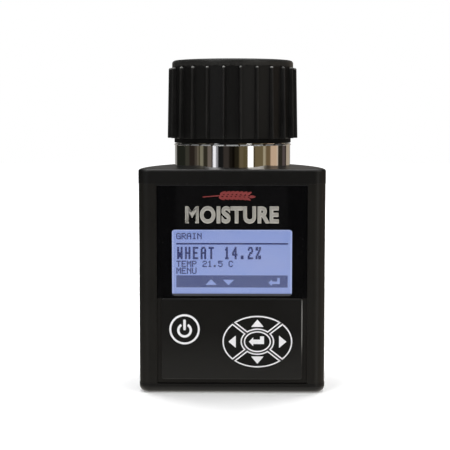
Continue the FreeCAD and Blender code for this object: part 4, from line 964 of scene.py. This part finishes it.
def wheat_ear():
    """A small red wheat ear lying above the word."""
    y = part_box("display_panel")[0].y
    mesh = bmesh.new()
    left, right = -16.0 * MM, 12.7 * MM
    middle = 108.8 * MM
    stalk = 0.28 * MM

    def rise(x):
        share = (x - left) / (right - left)
        return middle + 0.9 * MM * math.sin(math.pi * share)

    upper = [(x, rise(x) + stalk) for x in steps(left, right - 3 * MM, 16)]
    lower = [(x, rise(x) - stalk) for x in steps(left, right - 3 * MM, 16)]
    plate(mesh, upper[::-1] + lower, y)
    lean = math.radians(27)
    first, spacing = -7.0 * MM, 2.35 * MM
    for i in range(7):
        x = first + spacing * i
        for side in (-1, 1):
            start = x + (0.6 * MM if side > 0 else 0)
            centre = (start + 1.5 * MM, rise(start) + side * 1.45 * MM)
            plate(mesh, leaf_loop(centre, side * lean, 3.7 * MM, 1.5 * MM), y)
    plate(mesh, leaf_loop((right - 1.6 * MM, rise(right - 1.6 * MM)), 0, 3.6 * MM, 1.5 * MM), y)
    piece("panel_wheat_ear", mesh, RED_INK, "meter")


# ---------------------------------------------------------------- studio and camera

TAN = (0.15, 0.115, 0.06)
BROWN = (0.10, 0.078, 0.037)
# what stands round the object: from and to in degrees right of the camera, and its light
LEFT_BANDS = [
    (-180, -150, (0.30, 0.29, 0.27)),
    (-146, -110, (0.015, 0.016, 0.012)),
    (-106, -97, (0.042, 0.040, 0.031)),
    (-93, -81, (0.022, 0.016, 0.013)),
    (-79.5, -75, (0.062, 0.051, 0.040)),
    (-73, -70.5, (0.140, 0.120, 0.090)),
    (-69.5, -68.5, (0.045, 0.036, 0.020)),
    (-66, -61, (0.210, 0.195, 0.140)),
    (-58, -51, (0.030, 0.027, 0.018)),
    (-49, -42, (0.150, 0.125, 0.105)),
    (-40.6, -39.4, (0.025, 0.020, 0.022)),
    (-38.2, -33, (0.950, 0.950, 1.000)),
    (-32, -29, (0.280, 0.280, 0.300)),
    (-27.5, -19, (0.009, 0.009, 0.009)),
    (-16, -8, (0.038, 0.031, 0.027)),
    (-5, 0, (0.010, 0.008, 0.006)),
]
RIGHT_BANDS = [
    (0, 3, (0.004, 0.003, 0.002)),
    (6, 12, (0.017, 0.014, 0.008)),
    (15, 20, (0.125, 0.098, 0.055)),
    (23, 29.8, BROWN),
    (31.4, 40.8, (1.60, 1.56, 1.48)),
    (42.8, 44.5, (0.045, 0.030, 0.008)),
    (46, 62.5, TAN),
    (64, 67.5, (0.370, 0.320, 0.220)),
    (71, 79.5, (0.145, 0.100, 0.052)),
    (83, 98.5, (0.560, 0.400, 0.280)),
    (99.5, 101, (0.640, 0.520, 0.410)),
    (104, 117, (0.028, 0.024, 0.018)),
    (119, 128, (0.088, 0.070, 0.068)),
    (131, 133, (0.012, 0.006, 0.006)),
    (137, 158, (0.420, 0.350, 0.270)),
    (162, 180, (0.34, 0.32, 0.29)),
]


def studio_world():
    """White to the camera; to reflections, bands of light round the horizon under a soft sky."""
    world = bpy.data.worlds.new("studio")
    bpy.context.scene.world = world
    world.use_nodes = True
    tree = world.node_tree
    tree.nodes.clear()

    def node(kind, inputs=None, **settings):
        return add_node(tree, kind, inputs, **settings)

    way = node("SeparateXYZ", {0: node("TexCoord").outputs["Generated"]}).outputs
    front = node("Math", {0: way["Y"], 1: -1.0}, operation="MULTIPLY").outputs[0]
    azimuth = node("Math", {0: way["X"], 1: front}, operation="ARCTAN2").outputs[0]
    sides = []
    for bands, first in ((LEFT_BANDS, -180), (RIGHT_BANDS, 0)):
        ends = {"From Min": math.radians(first), "From Max": math.radians(first + 180)}
        ramp = node("ValToRGB", {0: node("MapRange", {"Value": azimuth, **ends}).outputs[0]})
        stops = ramp.color_ramp.elements
        while len(stops) < 2 * len(bands):
            stops.new(0.5)
        for i, (start, end, colour) in enumerate(bands):
            for stop, degrees in ((stops[2 * i], start), (stops[2 * i + 1], end)):
                stop.position = (degrees - first) / 180
                stop.color = (*colour, 1)
        sides.append(ramp.outputs[0])
    right = node("Math", {0: azimuth, 1: 0.0}, operation="GREATER_THAN").outputs[0]
    low_sky = node("MapRange", {"Value": way["Z"], "From Min": 0.16, "From Max": 0.45}).outputs[0]
    high_sky = node("MapRange", {"Value": way["Z"], "From Min": 0.45, "From Max": 0.95}).outputs[0]
    ground = node("MapRange", {"Value": way["Z"], "From Min": -0.18, "From Max": -0.42}).outputs[0]
    light = node("Mix", {0: right, 6: sides[0], 7: sides[1]}, data_type="RGBA").outputs[2]
    for mask, colour in ((low_sky, (0.05, 0.05, 0.052, 1)), (high_sky, (0.40, 0.41, 0.42, 1)),
                         (ground, (1.30, 1.24, 1.14, 1))):
        light = node("Mix", {0: mask, 6: light, 7: colour}, data_type="RGBA").outputs[2]
    seen = node("LightPath").outputs["Is Camera Ray"]
    light = node("Mix", {0: seen, 6: light, 7: (1, 1, 1, 1)}, data_type="RGBA").outputs[2]
    surface = node("Background", {"Color": light, "Strength": 1.0}).outputs[0]
    node("OutputWorld", {"Surface": surface})


def floor():
    """A plain pale floor that fades to white away from the object."""
    mesh = bmesh.new()
    bmesh.ops.create_circle(mesh, cap_ends=True, segments=96, radius=3.0)
    data = bpy.data.meshes.new("floor")
    mesh.to_mesh(data)
    mesh.free()
    item = bpy.data.objects.new("floor", data)
    bpy.context.scene.collection.objects.link(item)
    look = Look("floor_paint", (0.90, 0.90, 0.90), 0.9, Emission_Color=(1, 1, 1, 1))
    away = look.node("VectorMath", {0: look.place}, operation="LENGTH").outputs["Value"]
    fade = look.remap(away, 0.16, 0.75, 0.12, 1.0)
    look.links.new(fade, look.shader.inputs["Emission Strength"])
    look.tint(look.remap(look.noise(6, 3), 0.4, 0.7, 0, 0.5), (0.88, 0.88, 0.885))
    data.materials.append(look.material)
    item.visible_glossy = False


def softbox(name, place, aim, wide, tall, power, colour=(1, 1, 1), mirrored=True):
    """A rectangular light at a place, aimed at a point; shiny surfaces mirror it unless told not to."""
    light = bpy.data.lights.new(name, "AREA")
    light.shape = "RECTANGLE"
    light.size = wide
    light.size_y = tall
    light.energy = power
    light.color = colour
    item = bpy.data.objects.new(name, light)
    bpy.context.scene.collection.objects.link(item)
    item.location = place
    item.rotation_mode = "QUATERNION"
    item.rotation_quaternion = (Vector(aim) - Vector(place)).to_track_quat("-Z", "Y")
    item.visible_glossy = mirrored


def lights():
    middle = (0, 0, 0.10)
    softbox("key_left", (-0.55, -0.75, 0.75), middle, 0.45, 0.45, 3.4)
    softbox("fill_right", (0.75, -0.60, 0.60), middle, 0.45, 0.60, 2.4, (1.0, 0.97, 0.92))
    softbox("top", (0.0, 0.15, 1.10), middle, 0.9, 0.7, 10.0)
    softbox("back_left", (-0.70, 0.70, 0.55), middle, 0.5, 0.5, 6.0, mirrored=False)
    softbox("back_right", (0.70, 0.70, 0.55), middle, 0.5, 0.5, 6.0, mirrored=False)


def camera():
    """Level with the lower half of the cap, a little to the right, aimed at the middle of the picture."""
    distance = 0.65
    view_wide = 244.8 * MM      # what the picture spans on the face
    face = cad_low.y
    data = bpy.data.cameras.new("camera")
    data.sensor_width = 36.0
    data.lens = data.sensor_width * distance / view_wide
    data.clip_start, data.clip_end = 0.05, 20
    item = bpy.data.objects.new("camera", data)
    bpy.context.scene.collection.objects.link(item)
    aim = Vector((-3.8 * MM, face, 93.6 * MM))
    item.location = (5 * MM, face - distance, 154.5 * MM)
    item.rotation_mode = "QUATERNION"
    item.rotation_quaternion = (aim - item.location).to_track_quat("-Z", "Y")
    bpy.context.scene.camera = item


camera()
cap()
cell_bead()
spring()
arrow_legends()
enter_legend()
power_legend()
display()
word_on_panel()
window_sill()
wheat_ear()
studio_world()
floor()
lights()
bpy.context.scene.view_settings.view_transform = "Standard"
